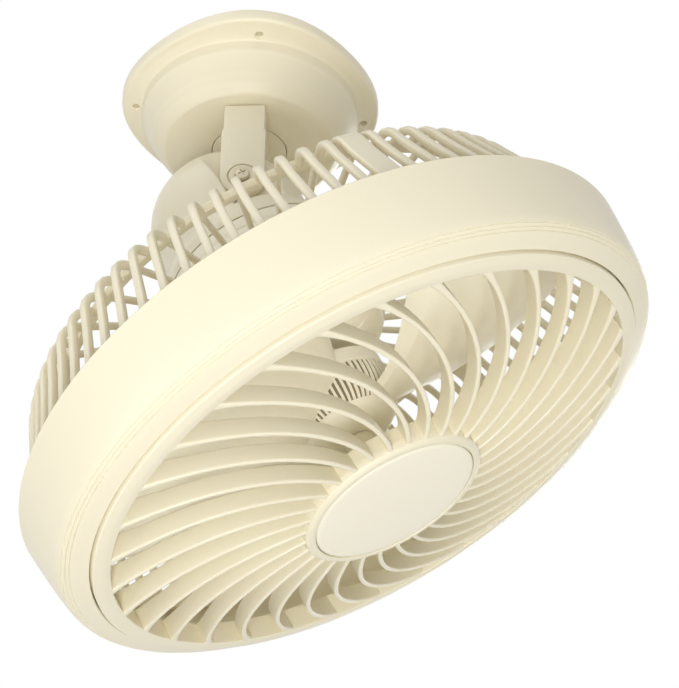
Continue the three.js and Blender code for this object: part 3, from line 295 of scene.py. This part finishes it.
def add_piece(name, mesh, material, body, replaces=(), sharp=SHARP_FROM, place=None):
    """Puts a finished bmesh into the scene as one piece of the fan."""
    obj = as_object(name, mesh, place)
    obj.data.materials.append(material)
    for face in obj.data.polygons:
        face.use_smooth = True
    obj.data.set_sharp_from_angle(angle=math.radians(sharp))
    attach(obj, body)
    if replaces:
        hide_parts(*replaces)
    return obj


def cutter_from(mesh, place=None):
    """A closed mesh that only shapes others and never stays in the scene."""
    return as_object("cutter", mesh, place)


def shaped_by(obj, cutters, operation="DIFFERENCE", edge=0.0):
    """Shapes obj with other closed meshes for good, and rounds the edges that this leaves."""
    for cutter in cutters:
        change = obj.modifiers.new("shape", "BOOLEAN")
        change.operation, change.object, change.solver = operation, cutter, "EXACT"
    if edge:
        soften = obj.modifiers.new("edges", "BEVEL")
        soften.width, soften.segments, soften.limit_method = edge, 2, "ANGLE"
        soften.angle_limit = math.radians(SOFTENED_FROM)
    bpy.context.view_layer.update()
    depsgraph = bpy.context.evaluated_depsgraph_get()
    shaped = bpy.data.meshes.new_from_object(obj.evaluated_get(depsgraph), depsgraph=depsgraph)
    obj.modifiers.clear()
    old = obj.data
    obj.data = shaped
    shaped.name = old.name
    bpy.data.meshes.remove(old)
    for cutter in cutters:
        bpy.data.objects.remove(cutter)
    shaped.set_sharp_from_angle(angle=math.radians(SHARP_FROM))


canopy_outside = [
    (CANOPY_RIM, 0), (CANOPY_RIM, -6.4), (77.5, -8.0), (74, -8.3), (68.4, -9.7), (66.8, -10.5),
    (66.4, -16.8), (65.2, -18.6), (62.8, -23), (60.2, -28.4), (57.0, -33.4), (54.2, -36.6),
    (52.6, -38.2), (51.2, CANOPY_FACE), (CANOPY_HOLE, CANOPY_FACE)]
canopy_inside = [
    (CANOPY_HOLE, -36.4), (50.2, -36.4), (53.2, -34), (57.0, -28), (61.6, -20), (63.2, -16.5),
    (64.0, -8.4), (69, -6.4), (76.1, -5.4), (76.1, 0)]
canopy = spin_outline(rounded(canopy_outside + canopy_inside, 0.9), 180)
for vert in canopy.verts:
    radius = math.hypot(vert.co.x, vert.co.y) / MM
    turn = math.atan2(vert.co.y, vert.co.x) - CANOPY_TURN
    share = max(0.0, min(1.0, (radius - FLANGE_FROM) / FLANGE_BLEND))
    bulge = FLANGE_LOBE * math.cos(4 * turn) + FLANGE_OVAL * math.cos(2 * turn)
    wider = 1 + bulge * share * share * (3 - 2 * share) / radius
    vert.co.x, vert.co.y = vert.co.x * wider, vert.co.y * wider
canopy_piece = add_piece("canopy_shell", canopy, ivory, "ceiling_unit",
                         ["ceiling_canopy"])
screw_bosses, screw_holes = [], []
for quarter in range(4):
    turn = CANOPY_TURN + quarter * math.pi / 2
    spot = Matrix.Translation((SCREW_CIRCLE * MM * math.cos(turn),
                               SCREW_CIRCLE * MM * math.sin(turn), 0))
    screw_bosses.append(cutter_from(rod(SCREW_BOSS, -7.2, -0.02, 24), spot))
    hole = spin_outline([(0, -30), (SCREW_SINK, -30), (SCREW_SINK, -9.3), (SCREW_HOLE, -8.3),
                         (SCREW_HOLE, 4), (0, 4)], 24)
    screw_holes.append(cutter_from(hole, spot))
shaped_by(canopy_piece, screw_bosses, "UNION")
shaped_by(canopy_piece, screw_holes)

# ------------------------------------------------------------------ turning neck and yoke
# One stiff moulding: a round disc that turns in the canopy's face, a crossbar, and two
# flat arms with a soft edge, a slight step in their width and a round recess for the bolt.
ARM_OUT, ARM_IN, ARM_HALF, ARM_END, ARM_STEP = 44.0, 38.6, 12.0, 13.0, -58.6
BAR_TOP, BAR_UNDER, PIVOT = -39.9, -44.9, -94.0
RECESS, RECESS_FLOOR, BOLT_HOLE = 8.9, 42.6, 3.35

disc = spin_outline(rounded([(0, -36.6), (22.4, -36.6), (22.4, -39.4), (12, -39.4), (12, -41),
                             (0, -41)], 0.35, 2), 96)
add_piece("neck_disc", disc, ivory, "neck")


def prism(outline, low, high):
    """A solid with an outline in X and Z, from Y low to Y high."""
    solid = bmesh.new()
    face = solid.faces.new([solid.verts.new((x * MM, low * MM, z * MM)) for x, z in outline])
    made = bmesh.ops.extrude_face_region(solid, geom=[face])
    bmesh.ops.translate(solid, vec=(0, (high - low) * MM, 0),
                        verts=[v for v in made["geom"] if isinstance(v, bmesh.types.BMVert)])
    return solid


def to_side(side):
    """Turns what is made along Z to the near side (-1) or the far side (1)."""
    return Matrix.Rotation(-side * math.pi / 2, 4, "X")


foot = PIVOT - 20
u_shape = [(-ARM_OUT, foot), (-ARM_OUT, BAR_TOP), (ARM_OUT, BAR_TOP), (ARM_OUT, foot),
           (ARM_IN, foot), (ARM_IN, BAR_UNDER), (-ARM_IN, BAR_UNDER), (-ARM_IN, foot)]
yoke = prism(rounded(u_shape, 1.6, 4), -20, 20)
yoke.transform(Matrix.Rotation(math.pi / 2, 4, "Z"))
yoke_piece = add_piece("yoke_arms", yoke, ivory, "neck", ["yoke"])

arm_end = [(ARM_END * math.cos(turn), PIVOT + ARM_END * math.sin(turn))
           for turn in [math.pi + math.pi * k / 24 for k in range(1, 24)]]
arm_outline = [(-ARM_HALF, 0), (-ARM_HALF, ARM_STEP), (-13.0, ARM_STEP - 1), (-13.0, PIVOT),
               *arm_end,
               (12.7, PIVOT), (12.7, ARM_STEP - 1), (ARM_HALF, ARM_STEP), (ARM_HALF, 0)]
shaped_by(yoke_piece, [cutter_from(prism(arm_outline, -60, 60))], "INTERSECT", edge=0.0009)
pivot_cuts = []
for side in (-1, 1):
    across = Matrix.Translation((0, 0, PIVOT * MM)) @ to_side(side)
    sunk = spin_outline([(0, RECESS_FLOOR), (8.6, RECESS_FLOOR), (RECESS, 44.2), (RECESS, 50),
                         (0, 50)], 48)
    pivot_cuts += [cutter_from(sunk, across), cutter_from(rod(BOLT_HOLE, 30, 44, 24), across)]
shaped_by(yoke_piece, pivot_cuts)

# ------------------------------------------------------------------ fan head's place
# The head hangs in the yoke and leans 27 degrees from straight down; its own axis runs
# 10.9 mm beside the tilt axis. Stations count rearwards from the grille's seam.
HEAD_LEAN, HEAD_ASIDE, PIVOT_STATION = -27, 10.9, 185
HEAD = (Matrix.Translation((0, 0, PIVOT * MM)) @ Matrix.Rotation(math.radians(HEAD_LEAN), 4, "Y")
        @ Matrix.Translation((-HEAD_ASIDE * MM, 0, -PIVOT_STATION * MM)))

# ------------------------------------------------------------------ rear cover
# A round moulded cap over the back of the motor, cut away at both sides into flat channels
# that the yoke's arms run in and the pivots pass through, with a lip at the motor housing.
HOUSING, CAP_OUT, CAP_IN, CAP_SKIRT = 53, 46.5, 43.9, 152.2
CHANNEL_FLAT, CHANNEL_INNER, CHANNEL_ASIDE, CHANNEL_END = 36.4, 33.8, 13.7, 166.0
PIVOT_HOLE, CABLE_HOLE = 3.5, 5


def quarter_round(radius, steps):
    """Points of a quarter circle about the cap's centre, from the side to the back."""
    turns = [math.pi / 2 * k / steps for k in range(steps)]
    return [(radius * math.cos(turn), PIVOT_STATION + radius * math.sin(turn))
            for turn in turns] + [(0, PIVOT_STATION + radius)]


cap = spin_outline([(0, CAP_SKIRT), (HOUSING, CAP_SKIRT), (HOUSING, 156), (51.6, 158.8),
                    (48.2, 163.6), (46.7, 167)] + quarter_round(CAP_OUT, 22), 128)
rear_cap = add_piece("rear_cap", cap, ivory, "head", ["rear_cover"])
cap_cuts = [cutter_from(rod(CAP_IN, 150, 163.4, 64))]
hollow = spin_outline([(0, 160), (CAP_IN, 160)] + quarter_round(CAP_IN, 10), 64)
for side in (-1, 1):
    bmesh.ops.bisect_plane(hollow, geom=hollow.verts[:] + hollow.edges[:] + hollow.faces[:],
                           plane_co=(0, side * CHANNEL_INNER * MM, 0), plane_no=(0, side, 0),
                           clear_outer=True)
    bmesh.ops.holes_fill(hollow, edges=[e for e in hollow.edges if e.is_boundary], sides=0)
cap_cuts.append(cutter_from(hollow))
long, deep, high = 60, 30, 90
for side in (-1, 1):
    channel = bmesh.new()
    bmesh.ops.create_cube(channel, size=MM)
    bmesh.ops.scale(channel, vec=(long, deep, high), verts=channel.verts)
    bmesh.ops.translate(channel, verts=channel.verts,
                        vec=((HEAD_ASIDE - CHANNEL_ASIDE + long / 2) * MM,
                             side * (CHANNEL_FLAT + deep / 2) * MM,
                             (CHANNEL_END + high / 2) * MM))
    cap_cuts.append(cutter_from(channel))
    pivot_place = Matrix.Translation((HEAD_ASIDE * MM, 0, PIVOT_STATION * MM)) @ to_side(side)
    cap_cuts.append(cutter_from(rod(PIVOT_HOLE, 30, 42, 32), pivot_place))
cap_cuts.append(cutter_from(rod(CABLE_HOLE, PIVOT_STATION, 240, 32),
                            Matrix.Translation((HEAD_ASIDE * MM, 0, 0))))
shaped_by(rear_cap, cap_cuts, edge=0.0006)
rear_cap.data.transform(HEAD)

# ------------------------------------------------------------------ motor housing
# A plain barrel round the motor with a flange that the rear guard is screwed to, and two
# fine grooves behind the flange.
barrel = spin_outline(rounded([
    (50.4, 88), (51.8, 88), (HOUSING, 91), (HOUSING, 101), (62, 101), (62, 104), (HOUSING, 104),
    (HOUSING, 112), (52.5, 112.5), (52.5, 113.7), (HOUSING, 114.2), (HOUSING, 143),
    (52.4, 143.6), (52.4, 145), (HOUSING, 145.6), (HOUSING, 151.6), (50.4, 151.6)], 0.7), 128)
add_piece("motor_barrel", barrel, ivory_painted_light, "head", ["motor_housing"],
          place=HEAD)

# ------------------------------------------------------------------ motor front cover
# The end cover of the motor: a boss for the front bearing, a shallow cone with sunk
# cooling slots all round, and a rim that fits into the housing.
COOLING_SLOTS, SLOT_SIZE, SLOT_MIDDLE, CONE_SLOPE = 24, (19, 2.6, 3.4, 1), (34, 76.2), -16


def swept(mesh, section, places):
    """Carries a closed section along a row of places and bridges the rings into one bar."""
    rings = []
    for place in places:
        points = [mesh.verts.new(place @ Vector((u * MM, w * MM, 0))) for u, w in section]
        rings.append([mesh.edges.new((points[i - 1], points[i])) for i in range(len(points))])
    for near, far in zip(rings, rings[1:]):
        bmesh.ops.bridge_loops(mesh, edges=near + far)
    for ring in (rings[0], rings[-1]):
        bmesh.ops.contextual_create(mesh, geom=ring)


def place_on(at, side, inward, along):
    """A place for a section: its width runs along side and its depth along inward."""
    matrix = Matrix((side, inward, along)).transposed().to_4x4()
    matrix.translation = at
    return matrix


def ring_of(mesh, count, first=0.0):
    """Turns what the mesh holds by the first angle and repeats it round the axis."""
    bmesh.ops.rotate(mesh, verts=mesh.verts, cent=(0, 0, 0),
                     matrix=Matrix.Rotation(math.radians(first), 3, "Z"))
    bmesh.ops.spin(mesh, geom=mesh.verts[:] + mesh.edges[:] + mesh.faces[:], cent=(0, 0, 0),
                   axis=(0, 0, 1), angle=2 * math.pi * (count - 1) / count, steps=count - 1,
                   use_duplicate=True)


def added(mesh, other):
    """Moves what another mesh holds into this one."""
    data = bpy.data.meshes.new("part")
    other.to_mesh(data)
    other.free()
    mesh.from_mesh(data)
    bpy.data.meshes.remove(data)


end_cover = spin_outline(rounded([
    (7, 72), (14, 72), (16, 73), (17, 74.6), (24, 75.2), (34, 77.4), (43, 80.6), (48.2, 83.6),
    (50, 86.4), (50, 90.2), (47.4, 90.2), (45.4, 86), (33, 81.4), (20, 78.8), (13.8, 78),
    (13.8, 83), (11.4, 83), (11.4, 74.4), (7, 74.4)], 0.6), 128)
end_cover_piece = add_piece("motor_end_cover", end_cover, ivory_painted_light, "head",
                            ["motor_front_cover"])
cooling_slot = bmesh.new()
slot_radius, slot_station = SLOT_MIDDLE
bmesh.ops.create_cube(cooling_slot, size=MM, matrix=(
    Matrix.Translation((slot_radius * MM, 0, slot_station * MM))
    @ Matrix.Rotation(math.radians(CONE_SLOPE), 4, "Y") @ Matrix.Diagonal(SLOT_SIZE)))
ring_of(cooling_slot, COOLING_SLOTS)
shaped_by(end_cover_piece, [cutter_from(cooling_slot)])
end_cover_piece.data.transform(HEAD)

# ------------------------------------------------------------------ rear guard
# The back half of the cage, one moulding: a ring that clips into the outer ring, closely
# set round-backed ribs that bend over a shoulder, three of them broad, a second ring, half
# as many ribs inwards, and a seat on the motor housing.
GUARD_RIBS, GUARD_PHASE, BROAD_RIBS = 80, 269.3, (3, 30, 56)
GUARD_LEAN, LEAN_CENTRE, RIB_FOOT = 1.5, 0.75, 0.55
side_path = [(176.9, 47.0), (177.3, 50), (175.2, 55), (172.0, 63), (168.4, 72), (165.0, 81),
             (163.0, 86.6), (161.9, 90), (160.3, 94.4), (157.6, 98.6), (153.8, 101.7),
             (149.4, 103.4), (145.4, 104.1), (141.5, 104.5)]
inner_path = [(139, 105.0), (130, 105.6), (115, 106.2), (95, 106.9), (75, 107.3), (60, 107.4)]


def meridian_places(path):
    """Places along a (radius, station) path that leans round the axis, widest at its foot."""
    places = []
    for i, (radius, station) in enumerate(path):
        ahead, behind = path[min(i + 1, len(path) - 1)], path[max(i - 1, 0)]
        along = Vector((ahead[0] - behind[0], 0, ahead[1] - behind[1])).normalized()
        inward = Vector((-along.z, 0, along.x))
        lean = GUARD_LEAN * (i / (len(path) - 1) - LEAN_CENTRE)
        turn = Matrix.Rotation(math.radians(lean), 3, "Z")
        spread = 1.0 + RIB_FOOT * max(0.0, 1 - i / 2.0) ** 1.5
        places.append(place_on(turn @ Vector((radius * MM, 0, station * MM)),
                               turn @ Vector((0, spread, 0)), turn @ inward, turn @ along))
    return places


guard = bmesh.new()
rib_places = meridian_places(side_path)
swept(guard, rounded([(-2.45, 0), (2.45, 0), (1.75, 4.5), (-1.75, 4.5)], 1.9, 4), rib_places)
ring_of(guard, GUARD_RIBS, GUARD_PHASE)
inner_ribs = bmesh.new()
swept(inner_ribs, rounded([(-1.9, 0), (1.9, 0), (1.4, 3.8), (-1.4, 3.8)], 1.4), [
    place_on(Vector((radius * MM, 0, station * MM)), Vector((0, 1, 0)), Vector((0, 0, -1)),
             Vector((-1, 0, 0)))
    for radius, station in inner_path])
ring_of(inner_ribs, GUARD_RIBS // 2, GUARD_PHASE)
added(guard, inner_ribs)
for ring in (
        rounded([(177.6, 40), (177.9, 50.6), (177.0, 51.4), (174.2, 51.4), (173.4, 50.4),
                 (173.4, 40)], 0.6),
        rounded([(142.9, 104.7), (136.8, 105.2), (136.8, 100.8), (142.6, 100.3)], 1.0),
        rounded([(62.6, 107.6), (57.0, 107.6), (53.6, 107.3), (53.6, 104.4), (62.6, 104.4)],
                0.8)):
    added(guard, spin_outline(ring, 200))
broad_section = rounded([(-6.7, -0.15), (6.7, -0.15), (6.0, 4.5), (-6.0, 4.5)], 1.9, 4)
for rib in BROAD_RIBS:
    broad_rib = bmesh.new()
    swept(broad_rib, broad_section, rib_places)
    turn = math.radians(GUARD_PHASE + rib * (360 / GUARD_RIBS))
    broad_rib.transform(Matrix.Rotation(turn, 4, "Z"))
    added(guard, broad_rib)
add_piece("rear_cage", guard, ivory, "head", ["rear_guard"], sharp=50,
          place=HEAD)

# ------------------------------------------------------------------ outer ring
# The wide smooth band round the blades, one moulding with fine trim lines near its front,
# a fat rounded lip, and a shallow groove that the front grille's rim drops into.
BAND_FRONT, BAND_EDGE, BAND_FLARE, BAND_LENGTH = 176.7, 10.5, 6.6, 38.5
NOSE_WIDTH, NOSE_RISE = 14.0, 7.9
TRIM_LINES, TRIM_HALF, TRIM_DEPTH = (0.05, 0.165, 0.29), 0.02, 0.42


def band_reach(station):
    """The band widens from its rounded front edge towards the rear."""
    return BAND_FRONT + BAND_FLARE * ((station - BAND_EDGE) / BAND_LENGTH) ** 0.7


def nose_point(share, depth=0.0):
    """A place on the rounded front between its widest edge (0) and the grille's seam (1)."""
    return (BAND_FRONT - NOSE_WIDTH * share - 0.6 * depth,
            BAND_EDGE - NOSE_RISE * share ** 0.62 + 0.8 * depth)


band = [(180.9, 49), (182.7, 49), (183.3, 48.3)]
band += [(band_reach(station), station) for station in (44, 38, 32, 26, 21, 17, 14, 12.2)]
for share in sorted([0.0, 0.11, 0.22, 0.37, 0.48, 0.6, 0.72, 0.84, 0.93, *TRIM_LINES]):
    if share in TRIM_LINES:
        band += [nose_point(share - TRIM_HALF), nose_point(share, TRIM_DEPTH),
                 nose_point(share + TRIM_HALF)]
    else:
        band.append(nose_point(share))
band += [(163.2, 3.6), (163.05, 4.6), (163.05, 14), (165.2, 14), (165.6, 6.4), (169.6, 7.9),
         (174.3, 12.6), (177.7, 26), (179.7, 40)]
add_piece("outer_band", spin_outline(band, 224), ivory, "head", ["outer_ring"],
          sharp=40, place=HEAD)

# ------------------------------------------------------------------ front grille
# The spiral grille: deep thin vanes that sweep from a hub ring to a rim, their front edges
# rounded, each widening into a fillet where it runs into the rim.
GRILLE_VANES, GRILLE_SWEEP, GRILLE_PHASE = 32, 34.5, 143.6
VANE_START, HUB_OUT, RIM_IN, SEAM = 50.0, 52.5, 153.2, 162.7
HUB_FRONT, DISH = -20.0, 19.1
HUB_BLEND, RIM_FROM, RIM_BLEND = 6, 131, 24


def vane_line(radius):
    """Where the first vane runs at that radius, seen along the axis."""
    share = max(0.0, (radius - HUB_OUT) / (SEAM - HUB_OUT))
    turn = math.radians(-GRILLE_SWEEP * share ** 1.25)
    return radius * math.cos(turn), radius * math.sin(turn)


def vane_front(radius):
    """The station of the dished front at that radius."""
    share = max(0.0, (radius - HUB_OUT) / (RIM_IN - HUB_OUT))
    return HUB_FRONT + DISH * share ** 1.5


vane_places = []
for radius in [VANE_START, 51.5, 53, 55, 58, 62, *[62 + 8 * k for k in range(1, 11)],
               146, 149, 151.5, 153, 155]:
    ahead, behind = vane_line(radius + 0.5), vane_line(radius - 0.5)
    along = Vector((ahead[0] - behind[0], ahead[1] - behind[1], 0)).normalized()
    side = Vector((-along.y, along.x, 0))
    near_hub = max(0.0, 1 - (radius - VANE_START) / HUB_BLEND)
    near_rim = max(0.0, (radius - RIM_FROM) / RIM_BLEND)
    wide = 1 + 0.5 * near_hub ** 2 + 1.3 * near_rim ** 4
    deep = 1 + 0.15 * near_hub + 0.35 * near_rim ** 1.6
    at = Vector((*vane_line(radius), vane_front(radius))) * MM
    vane_places.append(place_on(at, side * wide, Vector((0, 0, deep)), along))
grille = bmesh.new()
swept(grille, rounded([(-1.4, 0), (1.4, 0), (1.0, 11), (-1.0, 11)], 1.25, 4), vane_places)
ring_of(grille, GRILLE_VANES, GRILLE_PHASE)
for ring in (
        rounded([(153.2, -0.9), (157.5, -0.6), (162.5, 0.8), (162.5, 15.9), (160.4, 15.9),
                 (153.5, 13.9)], 0.8),
        rounded([(10, -16.2), (47.4, -19.4), (47.5, -21.9), (50.2, -21.7), (52.4, -20.2),
                 (53.0, -17), (52.4, -8), (50.2, -8), (50.0, -14), (10, -13.8)], 0.6)):
    added(grille, spin_outline(ring, 192))
added(grille, rod(12, -19.5, -13.9, 48))
add_piece("spiral_grille", grille, ivory, "head", ["front_grille"], sharp=50,
          place=HEAD)

# ------------------------------------------------------------------ badge disc
# A thin smooth disc snapped into the middle of the grille, slightly domed and a little
# paler than the plastic round it, left bare.
badge_ivory = moulded("badge_plastic", (0.95, 0.905, 0.735), (0.94, 0.89, 0.72), 0.4, bump=0.0)
badge = spin_outline([(0, -23.0), (12, -22.95), (24, -22.7), (36, -22.35), (44, -22.0),
                      (46.2, -21.7), (46.9, -21.1), (46.9, -20.3), (0, -20.3)], 128)
add_piece("badge", badge, badge_ivory, "head", ["badge_disc"], place=HEAD)

# ------------------------------------------------------------------ blade wheel
# Three broad swept blades on a rounded hub, moulded in one. A folded strip stiffens each
# edge of a blade, and fine ribs stand on the hub's wall; the grooves between them get
# painted shade from a dark sleeve just under them.
BLADES, BLADES_PHASE, BLADE_WALL = 3, -14, 2.2
BLADE_TIP, BLADE_ROOT, BLADE_MIDDLE = 150.0, 28.0, 38.0
PITCH_AT_ROOT, PITCH_LOSS, BLADE_SWEEP = 38, 18, 26
HUB_RIBS, SHAFT_HOLE = 64, 4.35


def blade_point(span, chord):
    """The place on a blade at a share of its span (0 to 1) and of its chord (-1 to 1)."""
    radius = BLADE_ROOT + (BLADE_TIP - BLADE_ROOT) * span
    pitch = math.radians(PITCH_AT_ROOT - PITCH_LOSS * span)
    half_chord = 30 + 67 * math.sin(math.radians(min(1.0, span * 1.05) * 100))
    corner = 1 - 0.16 * max(0.0, (span - 0.8) / 0.2) ** 3
    reach = chord * half_chord * corner
    turn = reach * math.cos(pitch) / radius - math.radians(BLADE_SWEEP) * span ** 1.3
    strip = 0.03 + 0.15 * span
    fold = (3 + 8 * span) * max(0.0, (abs(chord) - 1 + strip) / strip)
    crown = 6 * (1 - chord * chord)
    station = BLADE_MIDDLE + 0.43 * reach * math.sin(pitch) - crown + fold
    return Vector((radius * math.cos(turn), radius * math.sin(turn), station)) * MM


wheel = bmesh.new()
bmesh.ops.create_grid(wheel, x_segments=44, y_segments=40, size=1)
for vert in wheel.verts:
    vert.co = blade_point((vert.co.x + 1) / 2, vert.co.y)
bmesh.ops.recalc_face_normals(wheel, faces=wheel.faces)
bmesh.ops.solidify(wheel, geom=wheel.faces[:], thickness=BLADE_WALL * MM)
ring_of(wheel, BLADES, BLADES_PHASE)
hub_wall = [(28.4, 30.4), (30.6, 33), (32.4, 37.4), (33.5, 42), (34, 47), (34, 51)]
added(wheel, spin_outline(
    [(SHAFT_HOLE, 22), (10, 22), (16, 22.8), (21.5, 24.8), (26, 28.2)]
    + [(radius - 1.1, station) for radius, station in hub_wall]
    + [(34, 52), (34, 60), (31.4, 60), (31.2, 48), (29.6, 42), (26, 36), (20, 31),
       (12, 28.4), (10, 30), (10, 56), (SHAFT_HOLE, 56)], 128))
hub_rib = bmesh.new()
swept(hub_rib, [(-0.75, 0), (0.75, 0), (0.75, 1.6), (-0.75, 1.6)], [
    place_on(Vector((radius * MM, 0, station * MM)), Vector((0, 1, 0)), Vector((-1, 0, 0)),
             Vector((0, 0, 1)))
    for radius, station in hub_wall])
ring_of(hub_rib, HUB_RIBS)
added(wheel, hub_rib)
add_piece("blade_wheel", wheel, ivory_painted_light, "rotor", ["fan_blade_wheel"],
          place=HEAD)

# A dark sleeve just inside the ribs' roots is painted shade for the grooves between the hub's
# ribs; it is no part of the fan.
painted_groove_shade = moulded("painted_groove_shade_plastic", (0.26, 0.215, 0.14), (0.21, 0.17, 0.11), 0.6)
rib_shade = spin_outline([(radius - 0.9, station) for radius, station in hub_wall]
                         + [(31.8, 50), (31.2, 44), (28.6, 36), (27.2, 32)], 128)
add_piece("hub_rib_shade", rib_shade, painted_groove_shade, "rotor", place=HEAD)

# ------------------------------------------------------------------ screws and metal
# Plated pan-head screws with cross slots hold the guard and the pivots, and a rounded
# plastic nut holds the blades; what is metal inside is plain machined or pressed.
WASHER_GAP, WASHER_THICK = 0.35, 1.2
GUARD_SCREW_CIRCLE, GUARD_SCREW_SEAT = 58.1, 107.75


def plated(name, colour, rough, streak=0.12):
    """A metal with fine turned or rolled streaks in its sheen."""
    material = bpy.data.materials.new(name)
    material.use_nodes = True
    tree = material.node_tree
    surface = tree.nodes["Principled BSDF"]
    surface.inputs["Metallic"].default_value = 1.0
    grain = noise_over(tree, 5.0, scale=260.0).outputs["Fac"]
    tree.links.new(ranged(tree, grain, rough - streak, rough + streak),
                   surface.inputs["Roughness"])
    tone = tree.nodes.new("ShaderNodeMix")
    tone.data_type = "RGBA"
    tone.inputs["A"].default_value = (*colour, 1)
    tone.inputs["B"].default_value = (*[c * 0.8 for c in colour], 1)
    tree.links.new(grain, tone.inputs["Factor"])
    tree.links.new(tone.outputs["Result"], surface.inputs["Base Color"])
    return material


finishes = {
    "steel": plated("zinc_plate", (0.58, 0.57, 0.54), 0.34),
    "brass": plated("turned_brass", (0.72, 0.53, 0.22), 0.3),
    "copper": plated("enamelled_copper", (0.55, 0.24, 0.1), 0.42),
    "nylon": moulded("nylon", (0.78, 0.76, 0.7), (0.7, 0.68, 0.6), 0.48),
    "dark_plastic": moulded("dark_plastic", (0.035, 0.034, 0.033), (0.05, 0.048, 0.045), 0.5),
    "ivory_plastic": ivory_inside,
    "badge_plastic": badge_ivory,
}
dull_zinc = plated("dull_zinc", (0.66, 0.60, 0.45), 0.5, 0.06)


def pan_head(radius, height, shank, length):
    """A pan-head screw along Z with its seat at Z = 0, all in millimetres."""
    return spin_outline([(0, -length), (shank * 0.7, -length), (shank, -length + 1), (shank, 0),
                         (radius, 0), (radius, height * 0.35), (radius * 0.86, height * 0.78),
                         (radius * 0.5, height * 0.98), (0, height)], 40)


def cross_cutters(length, height, place):
    """The two bars of a cross slot, each a cutter of its own."""
    bars = []
    for turn in (0, math.pi / 2):
        bar = bmesh.new()
        bmesh.ops.create_cube(bar, size=MM, matrix=(
            Matrix.Rotation(turn, 4, "Z") @ Matrix.Translation((0, 0, height * MM))
            @ Matrix.Diagonal((length, length * 0.2, 1.7, 1))))
        bars.append(cutter_from(bar, place))
    return bars


for side, label in ((-1, "near"), (1, "far")):
    across = Matrix.Translation((0, 0, PIVOT * MM)) @ to_side(side)
    bolt_seat = RECESS_FLOOR + 2 * WASHER_GAP + WASHER_THICK
    bolt_place = (across @ Matrix.Translation((0, 0, bolt_seat * MM))
                  @ Matrix.Rotation(0.5, 4, "Z"))
    bolt = add_piece(f"pivot_screw_{label}", pan_head(4.3, 2.5, 3.0, 17.5), dull_zinc, "neck",
                     [f"pivot_bolt_{label}"], place=bolt_place)
    shaped_by(bolt, cross_cutters(4.6, 2.7, bolt_place))
    washer = spin_outline(rounded([(BOLT_HOLE, 42.95), (7.8, 42.95), (7.8, 44.15),
                                   (BOLT_HOLE, 44.15)], 0.25, 2), 64)
    add_piece(f"pivot_plate_{label}", washer, dull_zinc, "neck",
              [f"pivot_washer_{label}"], place=across)
for i, angle in enumerate((45, 135, 225, 315)):
    spot = (HEAD @ Matrix.Rotation(math.radians(angle), 4, "Z")
            @ Matrix.Translation((GUARD_SCREW_CIRCLE * MM, 0, GUARD_SCREW_SEAT * MM)))
    guard_screw = add_piece(f"guard_fixing_{i + 1}", pan_head(2.9, 1.8, 1.5, 5.5),
                            finishes["steel"], "head", [f"guard_screw_{i + 1}"],
                            place=spot)
    shaped_by(guard_screw, cross_cutters(3.4, 2.0, spot))

nut = spin_outline(rounded([(0, 12.8), (5.4, 13.2), (7.6, 15), (8.4, 17.6), (8.4, 21.6),
                            (4.4, 21.6), (4.4, 16.4), (0, 16.4)], 0.5), 12)
add_piece("blade_cap_nut", nut, ivory_painted_light, "rotor", ["blade_nut"], place=HEAD)

# ------------------------------------------------------------------ the drive inside
# What the canopy and the housing hide keeps the solid's own shape, and takes the finish
# of its slot: plated steel, brass rings, copper windings, nylon gears, dark mouldings.
node_slots = {part["node"]: part["material_slot"] for part in frame["record"]["subparts"]}
for name, node in frame["nodes"].items():
    if not node.hide_render:
        node.data.materials.clear()
        node.data.materials.append(finishes[node_slots[name]])
